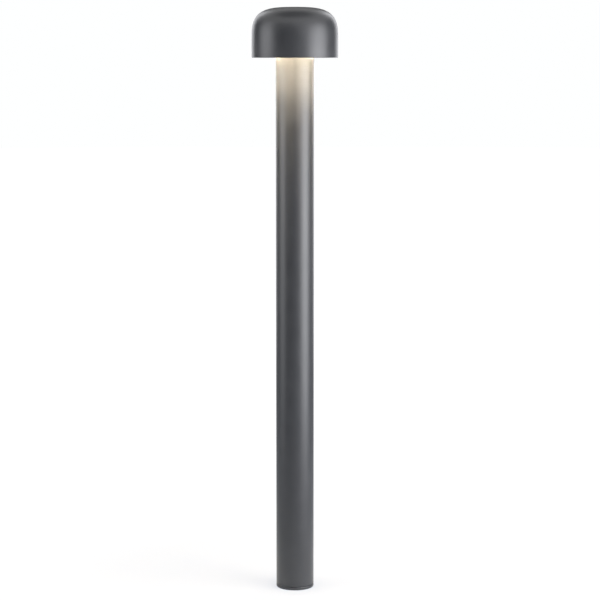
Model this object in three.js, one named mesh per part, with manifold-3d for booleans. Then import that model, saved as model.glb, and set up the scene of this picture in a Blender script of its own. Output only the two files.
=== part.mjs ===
// A slim round garden bollard light, 850 mm high: a straight tube on a flush foot, under a domed cap
// that throws its light down the tube through an opal ring.
//
// Units are millimetres, +Z is up, and the origin is the centre of the foot's underside. The two screws
// that lock the tube to the foot are at the back, towards +Y.
//
// The head comes apart from below: bezel ring, opal diffuser with its gasket and neck seal, white
// reflector, LED board on an aluminium heat spreader, and a hub that plugs the top of the tube. The gear
// tray stands in the foot, with the driver and the supply connector on it, and stays there when the
// tube is lifted off.

import * as THREE from "three";
import { mergeVertices } from "three/addons/utils/BufferGeometryUtils.js";
import Module from "manifold-3d";

const wasm = await Module();
wasm.setup();

// ---- Driving dimensions -------------------------------------------------------------------------

const TOTAL_HEIGHT = 850;
const GAP = 0.3; // between pieces that touch or thread together on the real object
const LEAD_GAP = 0.5; // round a lead where it enters a piece

const HEAD = {
  radius: 62,
  height: 72,
  wall: 3,
  domeHeight: 47.5, // the crown, above the straight skirt
  domePower: 3.37, // exponent of the superellipse that the crown follows
  edgeRound: 0.8,
};

const POLE = { radius: 27.5, wall: 2.5, chamfer: 0.4 };

const FOOT = { height: 4.5, floor: 8, spigotTop: 64, spigotWall: 4, cableHole: 8, chamfer: 0.8 };

const M3 = { shank: 1.5, head: 2.75, headHeight: 1.9, socket: 1.1 };
const M4 = { shank: 2, head: 3.3, headHeight: 2.6, socket: 1.4 };
const M4_LOW = { shank: 2, head: 3.4, headHeight: 1.2, socket: 1.2 };
const M5_BUTTON = { shank: 2.5, head: 4.6, headHeight: 1.9, socket: 1.7, domed: true };

const ROUND = 48; // facets round the large turned pieces
const MID = 36;
const SMALL = 20;
const TINY = 10;

// ---- Heights and radii worked out from them -----------------------------------------------------

const RIM = TOTAL_HEIGHT - HEAD.height; // the cap's lower edge
const POLE_BORE = POLE.radius - POLE.wall;
const POLE_TOP = RIM + 24;
const POLE_FOOT = FOOT.height + GAP;
const SPIGOT_RADIUS = POLE_BORE - GAP;
const SPIGOT_BORE = SPIGOT_RADIUS - FOOT.spigotWall;
const HEAD_BORE = HEAD.radius - HEAD.wall;

// Light unit, from the bottom up. Heights are above the rim.
const FACE = 2.4; // underside of bezel and diffuser, set back from the rim
const BEZEL_TOP = 4.7;
const FLANGE = { bottom: BEZEL_TOP + GAP, top: BEZEL_TOP + GAP + 2.6 };
const LEDGE = { bottom: 9.4, top: 15.4, radius: 51.5 };
const BEZEL = { inner: 49.5, outer: HEAD_BORE - GAP, edge: 0.5, screwRing: 55, screwAngles: [90, 210, 330] };
const BEZEL_TAP = 4.5; // depth in the ledge
const COLLAR = { inner: 30.2, outer: 31.8, top: 14.4 };
const NECK = POLE.radius + 0.4; // the diffuser's hole round the tube
const WEB = { bottom: 22.6, top: 23.8, inner: 30.4, outer: 44, window: 3 };
const TROUGH = { wall: 1.2, rim: 49.6 }; // the reflector's slanted wall widens to this rim
const SPACER = { radius: 1.3, inset: 1.8, length: 3 }; // pegs that keep the reflector off the board
const BOARD = { bottom: 26.4, top: 28, inner: 31, outer: 43, ring: 37 };
const PLATE = { bottom: 28.3, top: 32.3, radius: 51, hole: 8 };
const LED = { count: 9, side: 3.5, height: 0.9 };
const SHELL_BOSS = { ring: 47, radius: 4.2, height: 34, rib: 1.5, tap: 14, angles: [60, 180, 300] };
const SPREADER_SCREW = { ring: 15, tap: 9, angles: [90, 210, 330] };
const BOARD_SCREW_ANGLES = [0, 120, 240];
const HUB_SCREW = { height: 18, tapStart: 18, angles: [30, 150, 270] };
const HUB = { bottom: 2, core: 12, top: 28, bore: 11, groove: [6, 8.6], grooveRadius: 23 };
const PLUG = { angle: 30, near: 33.5, far: 42.5, width: 8, top: 39, entry: 35.3, depth: 2.5 };

// Gear tray and what it carries. Heights are above the ground.
const TRAY = { front: 14, back: 16, halfWidth: 17, tongue: 11, bottom: 22, shoulder: 70, top: 380 };
const TRAY_SCREWS = [36, 54];
const DRIVER = { halfWidth: 15, depth: 22, corner: 3, bottom: 215, top: 355, cap: 11 };
const FINS = { places: [-8, -4, 0, 4, 8], halfGroove: 0.9, depth: 1.2 };
const EAR = { length: 9, halfWidth: 6, thickness: 2.6 };
const NOSE = { length: 9, tip: 3.4, root: 4.6, bore: 7 };
const DRIVER_FRONT = TRAY.front - GAP - DRIVER.depth;
const DRIVER_AXIS = TRAY.front - GAP - DRIVER.depth / 2;
const JUNCTION = { radius: 12, bottom: 104, top: 146, collar: 10, waist: 0.8, edge: 1 };
const GLAND = { nut: 10.5, inlet: 4.5, height: 15, mouth: 7, shoulder: 4 };
const OUTLETS = { lead: -4, earth: 5, height: 8, shoulder: 3, depth: 4 };
const CLIP = {
  height: 125,
  half: 5,
  ring: JUNCTION.radius + LEAD_GAP,
  wall: 1.2,
  tab: 1.5,
  screwX: 13.2,
  ear: 17,
};
const LEAD = 2; // radius of the two-core leads
const EARTH = 1.3;
const EARTH_POINT = { x: 12, z: 188 };
const EARTH_LUG = { ring: 4, front: TRAY.front - GAP - 1, neck: 1.5, barrel: 2.4, length: 9, drop: 5 };
const LOCK = { height: 34, angles: [40, 140] };
const PAD = { halfWidth: 12, front: TRAY.back + GAP }; // flat in the spigot that the tray's tongue lies on
const ANCHORS = { ring: 14, hole: 3.5, angles: [30, 150, 270] };

// ---- Finishes -----------------------------------------------------------------------------------

const finish = (color, roughness, metalness) =>
  new THREE.MeshStandardMaterial({ color, roughness, metalness });

const POWDER_COAT = finish(0x4c4d50, 0.45, 0.2);
const OPAL = finish(0xf6ecd9, 0.35, 0);
const SILICONE = finish(0x2a2a2c, 0.8, 0);
const WHITE_PLASTIC = finish(0xf2f2ee, 0.5, 0);
const BOARD_MASK = finish(0xe9ebe6, 0.4, 0);
const PHOSPHOR = finish(0xf2d45a, 0.4, 0);
const ALUMINIUM = finish(0xb9bcc0, 0.4, 1);
const STAINLESS = finish(0xc6c7c9, 0.3, 1);
const ZINC_STEEL = finish(0xa9adb2, 0.45, 1);
const BLACK_NYLON = finish(0x1d1e20, 0.55, 0);
const LEAD_SHEATH = finish(0x2c2d2f, 0.5, 0);
const EARTH_SHEATH = finish(0x8fae2b, 0.5, 0);

// ---- Shapes and cuts ----------------------------------------------------------------------------

const radians = (degrees) => (degrees * Math.PI) / 180;
const around = (angle, radius, z) =>
  new THREE.Vector3(radius * Math.cos(radians(angle)), radius * Math.sin(radians(angle)), z);

// An outline of [radius, height] turned about +Z. It runs up the outside and down the inside.
function turned(outline, facets) {
  const points = outline.map(([r, z]) => new THREE.Vector2(r, z));
  return new THREE.LatheGeometry(points, facets).rotateX(Math.PI / 2);
}

const ring = (outline, facets) => turned([...outline, outline[0]], facets);

const hoop = (inner, outer, bottom, top, facets) =>
  ring([[inner, bottom], [outer, bottom], [outer, top], [inner, top]], facets);

// A cylinder that starts at a point and runs along a direction.
function rod(radius, start, direction, length, facets = TINY) {
  const way = direction.clone().normalize();
  return new THREE.CylinderGeometry(radius, radius, length, facets)
    .applyQuaternion(new THREE.Quaternion().setFromUnitVectors(UP_Y, way))
    .translate(...start.clone().addScaledVector(way, length / 2));
}

const UP_Y = new THREE.Vector3(0, 1, 0);
const UP = new THREE.Vector3(0, 0, 1);
const DOWN = new THREE.Vector3(0, 0, -1);
const FORWARD = new THREE.Vector3(0, -1, 0); // towards the front, away from the locking screws
const outward = (angle) => around(angle, 1, 0);

const block = (x, y, z) =>
  new THREE.BoxGeometry(x[1] - x[0], y[1] - y[0], z[1] - z[0]).translate(
    (x[0] + x[1]) / 2,
    (y[0] + y[1]) / 2,
    (z[0] + z[1]) / 2,
  );

// A rectangle with rounded corners in the XY plane.
function roundedPlate(halfX, halfY, corner) {
  const shape = new THREE.Shape();
  shape.moveTo(halfX, -halfY + corner);
  shape.absarc(halfX - corner, halfY - corner, corner, 0, Math.PI / 2);
  shape.absarc(-halfX + corner, halfY - corner, corner, Math.PI / 2, Math.PI);
  shape.absarc(-halfX + corner, -halfY + corner, corner, Math.PI, 1.5 * Math.PI);
  shape.absarc(halfX - corner, -halfY + corner, corner, 1.5 * Math.PI, 2 * Math.PI);
  return shape;
}

const extruded = (shape, depth, curveSegments = 3) =>
  new THREE.ExtrudeGeometry(shape, { depth, bevelEnabled: false, curveSegments });

// A lead: a round section swept along a smooth line through the points.
function swept(points, radius, steps) {
  const section = new THREE.Shape().absarc(0, 0, radius, 0, 2 * Math.PI);
  const extrudePath = new THREE.CatmullRomCurve3(points, false, "centripetal");
  return new THREE.ExtrudeGeometry(section, { steps, extrudePath, curveSegments: 4 });
}

function solid(geometry) {
  const bare = geometry.clone();
  bare.deleteAttribute("normal");
  bare.deleteAttribute("uv");
  const merged = mergeVertices(bare);
  return new wasm.Manifold(
    new wasm.Mesh({
      numProp: 3,
      vertProperties: merged.getAttribute("position").array,
      triVerts: new Uint32Array(merged.index.array),
    }),
  );
}

function geometryOf(made) {
  const { vertProperties, triVerts } = made.getMesh();
  const geometry = new THREE.BufferGeometry();
  geometry.setAttribute("position", new THREE.BufferAttribute(vertProperties, 3));
  geometry.setIndex(new THREE.BufferAttribute(triVerts, 1));
  geometry.computeVertexNormals();
  return geometry;
}

// One geometry with others joined to it and others cut from it.
function carved(geometry, { join = [], cut = [] }) {
  let made = solid(geometry);
  for (const piece of join) made = made.add(solid(piece));
  for (const piece of cut) made = made.subtract(solid(piece));
  return geometryOf(made);
}

const common = (a, b) => geometryOf(solid(a).intersect(solid(b)));

// ---- The group ----------------------------------------------------------------------------------

const bollard = new THREE.Group();

function add(name, geometry, material, position) {
  const mesh = new THREE.Mesh(geometry, material);
  mesh.name = name;
  if (position) mesh.position.copy(position);
  bollard.add(mesh);
  return mesh;
}

// A socket screw whose head stands on z = 0, with its shank down to -length.
function screwGeometry(size, length) {
  const { shank, head, headHeight, socket, domed } = size;
  const shoulder = domed ? 0.35 * headHeight : headHeight - 0.4;
  const crown = domed ? 0.62 * head : head - 0.4;
  const outline = [
    [0, -length],
    [shank, -length],
    [shank, 0],
    [head, 0],
    [head, shoulder],
    [crown, headHeight],
    [0, headHeight],
  ];
  const depth = 0.55 * headHeight;
  const key = rod(socket, new THREE.Vector3(0, 0, headHeight - depth), UP, 2 * depth, 6);
  return carved(turned(outline, TINY), { cut: [key] });
}

// A countersunk screw, flush with z = 0.
function countersunkGeometry({ shank, head, socket }, length) {
  const cone = head - shank;
  const outline = [
    [0, -length],
    [shank, -length],
    [shank, -cone],
    [head, 0],
    [0, 0],
  ];
  const key = rod(socket, new THREE.Vector3(0, 0, -cone), UP, 2 * cone, 6);
  return carved(turned(outline, TINY), { cut: [key] });
}

function addScrew(name, geometry, seat, direction) {
  const mesh = add(name, geometry, STAINLESS, seat);
  mesh.quaternion.setFromUnitVectors(UP, direction);
}

const clearanceHole = (size) => size.shank + GAP;

// ---- Head ---------------------------------------------------------------------------------------

// The crown's quarter curve, from the skirt up to the axis.
function crown(radius, height, base, steps) {
  const power = 2 / HEAD.domePower;
  return Array.from({ length: steps + 1 }, (_, i) => {
    const t = ((Math.PI / 2) * i) / steps;
    const r = i === steps ? 0 : radius * Math.cos(t) ** power;
    return [r, base + height * Math.sin(t) ** power];
  });
}

function headOutside(bottomInner) {
  const skirt = RIM + HEAD.height - HEAD.domeHeight;
  return [
    [bottomInner, RIM],
    [HEAD.radius - HEAD.edgeRound, RIM],
    [HEAD.radius - 0.3 * HEAD.edgeRound, RIM + 0.3 * HEAD.edgeRound],
    [HEAD.radius, RIM + HEAD.edgeRound],
    ...crown(HEAD.radius, HEAD.domeHeight, skirt, 11),
  ];
}

// The surface this far inside the outer one, closed across the rim.
function headInside(depth) {
  const skirt = RIM + HEAD.height - HEAD.domeHeight;
  return crown(HEAD.radius - depth, HEAD.domeHeight - depth, skirt, 7);
}

function headShell() {
  const ledgeTaper = HEAD_BORE - LEDGE.radius;
  const shell = turned(
    [
      ...headInside(HEAD.wall).reverse(),
      [HEAD_BORE, RIM + LEDGE.top + ledgeTaper],
      [LEDGE.radius, RIM + LEDGE.top],
      [LEDGE.radius, RIM + LEDGE.bottom],
      [HEAD_BORE, RIM + LEDGE.bottom],
      ...headOutside(HEAD_BORE),
    ],
    ROUND,
  );
  const midWall = HEAD.wall / 2;
  const envelope = turned([[0, RIM], [HEAD.radius - midWall, RIM], ...headInside(midWall)], ROUND);
  const bossBottom = RIM + PLATE.top + GAP;
  const join = [];
  const cut = [];
  for (const angle of SHELL_BOSS.angles) {
    const foot = around(angle, SHELL_BOSS.ring, bossBottom);
    join.push(common(rod(SHELL_BOSS.radius, foot, UP, SHELL_BOSS.height, TINY), envelope));
    const rib = block(
      [SHELL_BOSS.ring, HEAD.radius],
      [-SHELL_BOSS.rib, SHELL_BOSS.rib],
      [bossBottom + SHELL_BOSS.radius, bossBottom + SHELL_BOSS.height],
    );
    join.push(common(rib.rotateZ(radians(angle)), envelope));
    cut.push(rod(clearanceHole(M4), foot.addScaledVector(UP, -1), UP, SHELL_BOSS.tap + 1));
  }
  for (const angle of BEZEL.screwAngles) {
    const mouth = around(angle, BEZEL.screwRing, RIM + LEDGE.bottom - 1);
    cut.push(rod(clearanceHole(M3), mouth, UP, BEZEL_TAP + 1));
  }
  return carved(shell, { join, cut });
}

const bezelHoles = (bottom, top) =>
  BEZEL.screwAngles.map((angle) =>
    rod(clearanceHole(M3), around(angle, BEZEL.screwRing, bottom - 1), UP, top - bottom + 2),
  );

function bezelRing() {
  const [bottom, top] = [RIM + FACE, RIM + BEZEL_TOP];
  const flat = ring(
    [
      [BEZEL.inner, bottom + BEZEL.edge],
      [BEZEL.inner + BEZEL.edge, bottom],
      [BEZEL.outer - BEZEL.edge, bottom],
      [BEZEL.outer, bottom + BEZEL.edge],
      [BEZEL.outer, top],
      [BEZEL.inner, top],
    ],
    MID,
  );
  const coneHeight = M3.head - M3.shank;
  const countersinks = BEZEL.screwAngles.map((angle) =>
    new THREE.CylinderGeometry(M3.shank + GAP, M3.head + GAP, coneHeight, TINY)
      .rotateX(Math.PI / 2)
      .translate(...around(angle, BEZEL.screwRing, bottom + coneHeight / 2 - 0.01)),
  );
  return carved(flat, { cut: [...bezelHoles(bottom, top), ...countersinks] });
}

// Opal ring: a flat face flush with the bezel, a flange above it, and a collar round the tube.
function diffuser() {
  const face = RIM + FACE;
  const [flangeBottom, flangeTop] = [RIM + FLANGE.bottom, RIM + FLANGE.top];
  const outline = [
    [NECK, face],
    [BEZEL.inner - GAP, face],
    [BEZEL.inner - GAP, flangeBottom],
    [HEAD_BORE - 0.8, flangeBottom],
    [HEAD_BORE - 0.8, flangeTop],
    [BEZEL.inner - 3, flangeTop],
    [BEZEL.inner - 3, flangeBottom],
    [COLLAR.outer, flangeBottom],
    [COLLAR.outer, RIM + COLLAR.top],
    [COLLAR.inner, RIM + COLLAR.top],
    [COLLAR.inner, flangeTop],
    [NECK, flangeTop],
  ];
  return carved(ring(outline, MID), { cut: bezelHoles(flangeBottom, flangeTop) });
}

function diffuserGasket() {
  const [bottom, top] = [RIM + FLANGE.top + GAP, RIM + LEDGE.bottom - GAP];
  const flat = hoop(LEDGE.radius + 0.5, HEAD_BORE - 1, bottom, top, MID);
  return carved(flat, { cut: bezelHoles(bottom, top) });
}

function oRing(inner, outer, bottom) {
  const radius = (outer - inner) / 2;
  return new THREE.TorusGeometry((inner + outer) / 2, radius, 6, 28).translate(0, 0, bottom + radius);
}

// White trough between the board and the diffuser, with a window under each LED.
function reflector() {
  const { inner, outer, bottom, top } = WEB;
  const { wall, rim } = TROUGH;
  const [collarSeat, flangeSeat] = [RIM + COLLAR.top + LEAD_GAP, RIM + FLANGE.top + LEAD_GAP];
  const outline = [
    [inner, collarSeat],
    [inner + wall, collarSeat],
    [inner + wall, RIM + bottom],
    [outer, RIM + bottom],
    [rim, flangeSeat],
    [rim + wall, flangeSeat],
    [outer + wall, RIM + top],
    [inner, RIM + top],
  ];
  const windows = ledAngles().map((angle) =>
    rod(WEB.window, around(angle, BOARD.ring, RIM + bottom - 1), UP, top - bottom + 2),
  );
  const spacers = BOARD_SCREW_ANGLES.map((angle) =>
    rod(SPACER.radius, around(angle, BOARD.outer - SPACER.inset, RIM + bottom + 0.5), UP, SPACER.length),
  );
  return carved(ring(outline, MID), { join: spacers, cut: windows });
}

const ledAngles = () =>
  Array.from({ length: LED.count }, (_, i) => (360 / LED.count) * (i + 0.5));

function ledBoard() {
  const holes = BOARD_SCREW_ANGLES.map((angle) =>
    rod(clearanceHole(M3), around(angle, BOARD.ring, RIM + BOARD.bottom - 1), UP, 4),
  );
  const flat = hoop(BOARD.inner, BOARD.outer, RIM + BOARD.bottom, RIM + BOARD.top, MID);
  return carved(flat, { cut: holes });
}

function ledPackage() {
  const half = LED.side / 2;
  return block([-half, half], [-half, half], [-LED.height, 0]);
}

function heatSpreader() {
  const [bottom, top] = [RIM + PLATE.bottom, RIM + PLATE.top];
  const drilled = (angles, radius, hole) =>
    angles.map((angle) => rod(hole, around(angle, radius, bottom - 1), UP, top - bottom + 2));
  const window = block(
    [PLUG.near - 0.5, PLUG.far + 0.5],
    [-PLUG.width / 2 - 0.5, PLUG.width / 2 + 0.5],
    [bottom - 1, top + 1],
  ).rotateZ(radians(PLUG.angle));
  return carved(hoop(PLATE.hole, PLATE.radius, bottom, top, MID), {
    cut: [
      ...drilled(SPREADER_SCREW.angles, SPREADER_SCREW.ring, clearanceHole(M4)),
      ...drilled(SHELL_BOSS.angles, SHELL_BOSS.ring, clearanceHole(M4)),
      ...drilled(BOARD_SCREW_ANGLES, BOARD.ring, clearanceHole(M3)),
      window,
    ],
  });
}

// Lead connector on the back of the board. It stands up through the spreader's window.
function boardConnector() {
  const half = PLUG.width / 2;
  const body = block([PLUG.near, PLUG.far], [-half, half], [RIM + BOARD.top + 0.2, RIM + PLUG.top]);
  const entry = rod(
    LEAD + LEAD_GAP,
    new THREE.Vector3(PLUG.near - 1, 0, RIM + PLUG.entry),
    new THREE.Vector3(1, 0, 0),
    PLUG.depth + 1,
  );
  return carved(body, { cut: [entry] }).rotateZ(radians(PLUG.angle));
}

function grommet() {
  const [bore, body, flange, lip] = [LEAD + LEAD_GAP, PLATE.hole - 0.4, PLATE.hole + 2, 1.4];
  const [bottom, top] = [RIM + PLATE.bottom - GAP, RIM + PLATE.top + GAP];
  const outline = [
    [bore, bottom - lip],
    [flange, bottom - lip],
    [flange, bottom],
    [body, bottom],
    [body, top],
    [flange, top],
    [flange, top + lip],
    [bore, top + lip],
  ];
  return ring(outline, SMALL);
}

function addHead() {
  add("head_shell", headShell(), POWDER_COAT);
  add("bezel_ring", bezelRing(), POWDER_COAT);
  add("diffuser", diffuser(), OPAL);
  add("diffuser_gasket", diffuserGasket(), SILICONE);
  add("neck_seal", oRing(NECK, COLLAR.inner - GAP, RIM + FLANGE.top + GAP), SILICONE);
  add("reflector", reflector(), WHITE_PLASTIC);
  add("led_board", ledBoard(), BOARD_MASK);
  add("heat_spreader", heatSpreader(), ALUMINIUM);
  add("board_connector", boardConnector(), WHITE_PLASTIC);
  add("lead_grommet", grommet(), SILICONE);

  ledAngles().forEach((angle, i) => {
    const seat = around(angle, BOARD.ring, RIM + BOARD.bottom - GAP);
    add(`led_${i + 1}`, ledPackage(), PHOSPHOR, seat).rotation.z = radians(angle);
  });

  const bezelScrew = countersunkGeometry(M3, 10);
  BEZEL.screwAngles.forEach((angle, i) => {
    addScrew(`bezel_screw_${i + 1}`, bezelScrew, around(angle, BEZEL.screwRing, RIM + FACE), DOWN);
  });
  const boardScrew = screwGeometry(M3, 5.4);
  BOARD_SCREW_ANGLES.forEach((angle, i) => {
    const seat = around(angle, BOARD.ring, RIM + BOARD.bottom - GAP);
    addScrew(`board_screw_${i + 1}`, boardScrew, seat, DOWN);
  });
  const shellScrew = screwGeometry(M4, 16);
  SHELL_BOSS.angles.forEach((angle, i) => {
    const seat = around(angle, SHELL_BOSS.ring, RIM + PLATE.bottom - GAP);
    addScrew(`shell_screw_${i + 1}`, shellScrew, seat, DOWN);
  });
  const spreaderScrew = screwGeometry(M4, 12);
  SPREADER_SCREW.angles.forEach((angle, i) => {
    const seat = around(angle, SPREADER_SCREW.ring, RIM + PLATE.top + GAP);
    addScrew(`spreader_screw_${i + 1}`, spreaderScrew, seat, UP);
  });
}

// ---- Pole and the hub that plugs its top --------------------------------------------------------

function poleHub() {
  const outline = [
    [SPIGOT_BORE, RIM + HUB.bottom],
    [SPIGOT_RADIUS - 0.5, RIM + HUB.bottom],
    [SPIGOT_RADIUS, RIM + HUB.bottom + 0.5],
    [SPIGOT_RADIUS, RIM + HUB.groove[0]],
    [HUB.grooveRadius, RIM + HUB.groove[0]],
    [HUB.grooveRadius, RIM + HUB.groove[1]],
    [SPIGOT_RADIUS, RIM + HUB.groove[1]],
    [SPIGOT_RADIUS, POLE_TOP + GAP],
    [POLE.radius, POLE_TOP + GAP],
    [POLE.radius, RIM + HUB.top],
    [HUB.bore, RIM + HUB.top],
    [HUB.bore, RIM + HUB.core],
    [SPIGOT_BORE, RIM + HUB.core],
  ];
  const spreaderTaps = SPREADER_SCREW.angles.map((angle) =>
    rod(
      clearanceHole(M4),
      around(angle, SPREADER_SCREW.ring, RIM + HUB.top - SPREADER_SCREW.tap),
      UP,
      SPREADER_SCREW.tap + 1,
    ),
  );
  const poleTaps = HUB_SCREW.angles.map((angle) =>
    rod(
      clearanceHole(M4),
      around(angle, HUB_SCREW.tapStart, RIM + HUB_SCREW.height),
      outward(angle),
      POLE_BORE - HUB_SCREW.tapStart + 1,
    ),
  );
  return carved(ring(outline, MID), { cut: [...spreaderTaps, ...poleTaps] });
}

function poleTube() {
  const outline = [
    [POLE_BORE, POLE_FOOT],
    [POLE.radius - POLE.chamfer, POLE_FOOT],
    [POLE.radius, POLE_FOOT + POLE.chamfer],
    [POLE.radius, POLE_TOP],
    [POLE_BORE, POLE_TOP],
  ];
  const throughWall = (angles, height, hole) =>
    angles.map((angle) => rod(hole, around(angle, POLE_BORE - 2, height), outward(angle), 7));
  return carved(ring(outline, ROUND), {
    cut: [
      ...throughWall(HUB_SCREW.angles, RIM + HUB_SCREW.height, clearanceHole(M4_LOW)),
      ...throughWall(LOCK.angles, LOCK.height, clearanceHole(M5_BUTTON)),
    ],
  });
}

function addPole() {
  add("pole_tube", poleTube(), POWDER_COAT);
  add("pole_hub", poleHub(), ALUMINIUM);
  add("hub_seal", oRing(HUB.grooveRadius + GAP, POLE_BORE - GAP, RIM + HUB.groove[0] + GAP), SILICONE);
  const hubScrew = screwGeometry(M4_LOW, 7.5);
  HUB_SCREW.angles.forEach((angle, i) => {
    const seat = around(angle, POLE.radius + 0.2, RIM + HUB_SCREW.height);
    addScrew(`hub_screw_${i + 1}`, hubScrew, seat, outward(angle));
  });
}

// ---- Foot ---------------------------------------------------------------------------------------

function baseCasting() {
  const outline = [
    [FOOT.cableHole, 0],
    [POLE.radius - FOOT.chamfer, 0],
    [POLE.radius, FOOT.chamfer],
    [POLE.radius, FOOT.height - POLE.chamfer],
    [POLE.radius - POLE.chamfer, FOOT.height],
    [SPIGOT_RADIUS, FOOT.height],
    [SPIGOT_RADIUS, FOOT.spigotTop - 1],
    [SPIGOT_RADIUS - 1, FOOT.spigotTop],
    [SPIGOT_BORE, FOOT.spigotTop],
    [SPIGOT_BORE, FOOT.floor],
    [FOOT.cableHole, FOOT.floor],
  ];
  const padBlock = block(
    [-PAD.halfWidth, PAD.halfWidth],
    [PAD.front, SPIGOT_RADIUS],
    [FOOT.floor - 1, FOOT.spigotTop],
  );
  const spigotCore = rod(SPIGOT_BORE + 1, new THREE.Vector3(0, 0, 0), UP, FOOT.spigotTop, ROUND);
  const padTaps = TRAY_SCREWS.map((height) =>
    rod(clearanceHole(M4), new THREE.Vector3(0, SPIGOT_BORE + 1, height), FORWARD, 8),
  );
  const anchorHoles = ANCHORS.angles.map((angle) =>
    rod(ANCHORS.hole, around(angle, ANCHORS.ring, -1), UP, FOOT.floor + 2, 16),
  );
  const lockTaps = LOCK.angles.map((angle) =>
    rod(clearanceHole(M5_BUTTON), around(angle, SPIGOT_BORE - 3, LOCK.height), outward(angle), 10),
  );
  return carved(ring(outline, ROUND), {
    join: [common(padBlock, spigotCore)],
    cut: [...padTaps, ...anchorHoles, ...lockTaps],
  });
}

function addFoot() {
  add("base_casting", baseCasting(), POWDER_COAT);
  const lockScrew = screwGeometry(M5_BUTTON, 8);
  LOCK.angles.forEach((angle, i) => {
    const seat = around(angle, POLE.radius + 0.2, LOCK.height);
    addScrew(`pole_lock_screw_${i + 1}`, lockScrew, seat, outward(angle));
  });
}

// ---- Gear tray, driver and supply connector -----------------------------------------------------

// A flat sheet with a narrow tongue that drops into the spigot. Drawn as [x, height], then stood up.
function gearTray() {
  const { halfWidth, tongue, bottom, shoulder, top } = TRAY;
  const sheet = new THREE.Shape();
  sheet.moveTo(-tongue, bottom);
  sheet.lineTo(tongue, bottom);
  sheet.lineTo(tongue, shoulder);
  sheet.lineTo(halfWidth, shoulder);
  sheet.absarc(halfWidth - 4, top - 4, 4, 0, Math.PI / 2);
  sheet.absarc(4 - halfWidth, top - 4, 4, Math.PI / 2, Math.PI);
  sheet.lineTo(-halfWidth, shoulder);
  sheet.lineTo(-tongue, shoulder);
  const hole = (x, height, radius) => {
    sheet.holes.push(new THREE.Path().absarc(x, height, radius, 0, 2 * Math.PI, true));
  };
  const tapped = clearanceHole(M4);
  TRAY_SCREWS.forEach((height) => hole(0, height, tapped));
  driverScrewHeights().forEach((height) => hole(0, height, tapped));
  hole(CLIP.screwX, CLIP.height, tapped);
  hole(EARTH_POINT.x, EARTH_POINT.z, tapped);
  return extruded(sheet, TRAY.back - TRAY.front, 5).rotateX(Math.PI / 2).translate(0, TRAY.back, 0);
}

const driverScrewHeights = () => [
  DRIVER.bottom - DRIVER.cap - EAR.length / 2,
  DRIVER.top + DRIVER.cap + EAR.length / 2,
];

// Extruded case with cooling grooves down its front.
function driverCase() {
  const body = extruded(
    roundedPlate(DRIVER.halfWidth, DRIVER.depth / 2, DRIVER.corner),
    DRIVER.top - DRIVER.bottom - 2 * GAP,
  ).translate(0, DRIVER_AXIS, DRIVER.bottom + GAP);
  const grooves = FINS.places.map((x) =>
    block(
      [x - FINS.halfGroove, x + FINS.halfGroove],
      [DRIVER_FRONT - 1, DRIVER_FRONT + FINS.depth],
      [DRIVER.bottom, DRIVER.top],
    ),
  );
  return carved(body, { cut: grooves });
}

// End cap with a screw ear against the tray and a nose for the lead. It points down at the lower end.
function driverCap() {
  const half = DRIVER.depth / 2;
  const body = extruded(roundedPlate(DRIVER.halfWidth, half, DRIVER.corner), DRIVER.cap);
  const ear = block([-EAR.halfWidth, EAR.halfWidth], [half - EAR.thickness, half], [-EAR.length, 1]);
  const nose = turned([[0, -NOSE.length], [NOSE.tip, -NOSE.length], [NOSE.root, 1], [0, 1]], TINY);
  const earMiddle = new THREE.Vector3(0, half - 2 * EAR.thickness, -EAR.length / 2);
  const earHole = rod(clearanceHole(M4), earMiddle, UP_Y, 3 * EAR.thickness);
  const bore = rod(LEAD + LEAD_GAP, new THREE.Vector3(0, 0, -NOSE.length - 1), UP, NOSE.bore + 1);
  return carved(body, { join: [ear, nose], cut: [earHole, bore] });
}

// Inline watertight connector, upright in front of the tray.
function junctionBody() {
  const { radius, bottom, top, collar, waist, edge } = JUNCTION;
  const outline = [
    [0, bottom],
    [radius - edge, bottom],
    [radius, bottom + edge],
    [radius, bottom + collar],
    [radius - waist, bottom + collar + edge],
    [radius - waist, top - collar - edge],
    [radius, top - collar],
    [radius, top - edge],
    [radius - edge, top],
    [0, top],
  ];
  return turned(outline, SMALL);
}

// Compression nut that the supply cable enters from below.
function junctionGland() {
  const { nut, inlet, height, mouth, shoulder } = GLAND;
  const top = JUNCTION.bottom - GAP;
  const outline = [
    [inlet, top - height],
    [mouth, top - height],
    [nut, top - height + shoulder],
    [nut, top],
    [inlet, top],
  ];
  return ring(outline, 6);
}

// Cap with two outlets: the driver's lead and the earth wire.
function junctionCap() {
  const bottom = JUNCTION.top + GAP;
  const { lead, earth, height, shoulder, depth } = OUTLETS;
  const top = bottom + height;
  const outline = [
    [0, bottom],
    [GLAND.nut, bottom],
    [GLAND.nut, top - shoulder],
    [GLAND.nut - shoulder, top],
    [0, top],
  ];
  const outlet = (x, radius) =>
    rod(radius + LEAD_GAP, new THREE.Vector3(x, 0, top - depth), UP, depth + 1);
  return carved(turned(outline, TINY), { cut: [outlet(lead, LEAD), outlet(earth, EARTH)] });
}

// Saddle round the connector, with one ear on the tray.
function junctionClip() {
  const { height, half, ring: inner, wall, tab: thickness, screwX, ear } = CLIP;
  const [bottom, top] = [height - half, height + half];
  const band = hoop(inner, inner + wall, bottom, top, SMALL);
  const back = TRAY.front - GAP;
  const tab = block([0, ear], [back - thickness, back], [bottom, top]);
  const bore = rod(inner, new THREE.Vector3(0, 0, bottom - 1), UP, top - bottom + 2, SMALL);
  const screwHole = rod(clearanceHole(M4), new THREE.Vector3(screwX, back - 6, height), UP_Y, 8);
  return carved(band, { join: [tab], cut: [bore, screwHole] });
}

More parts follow.
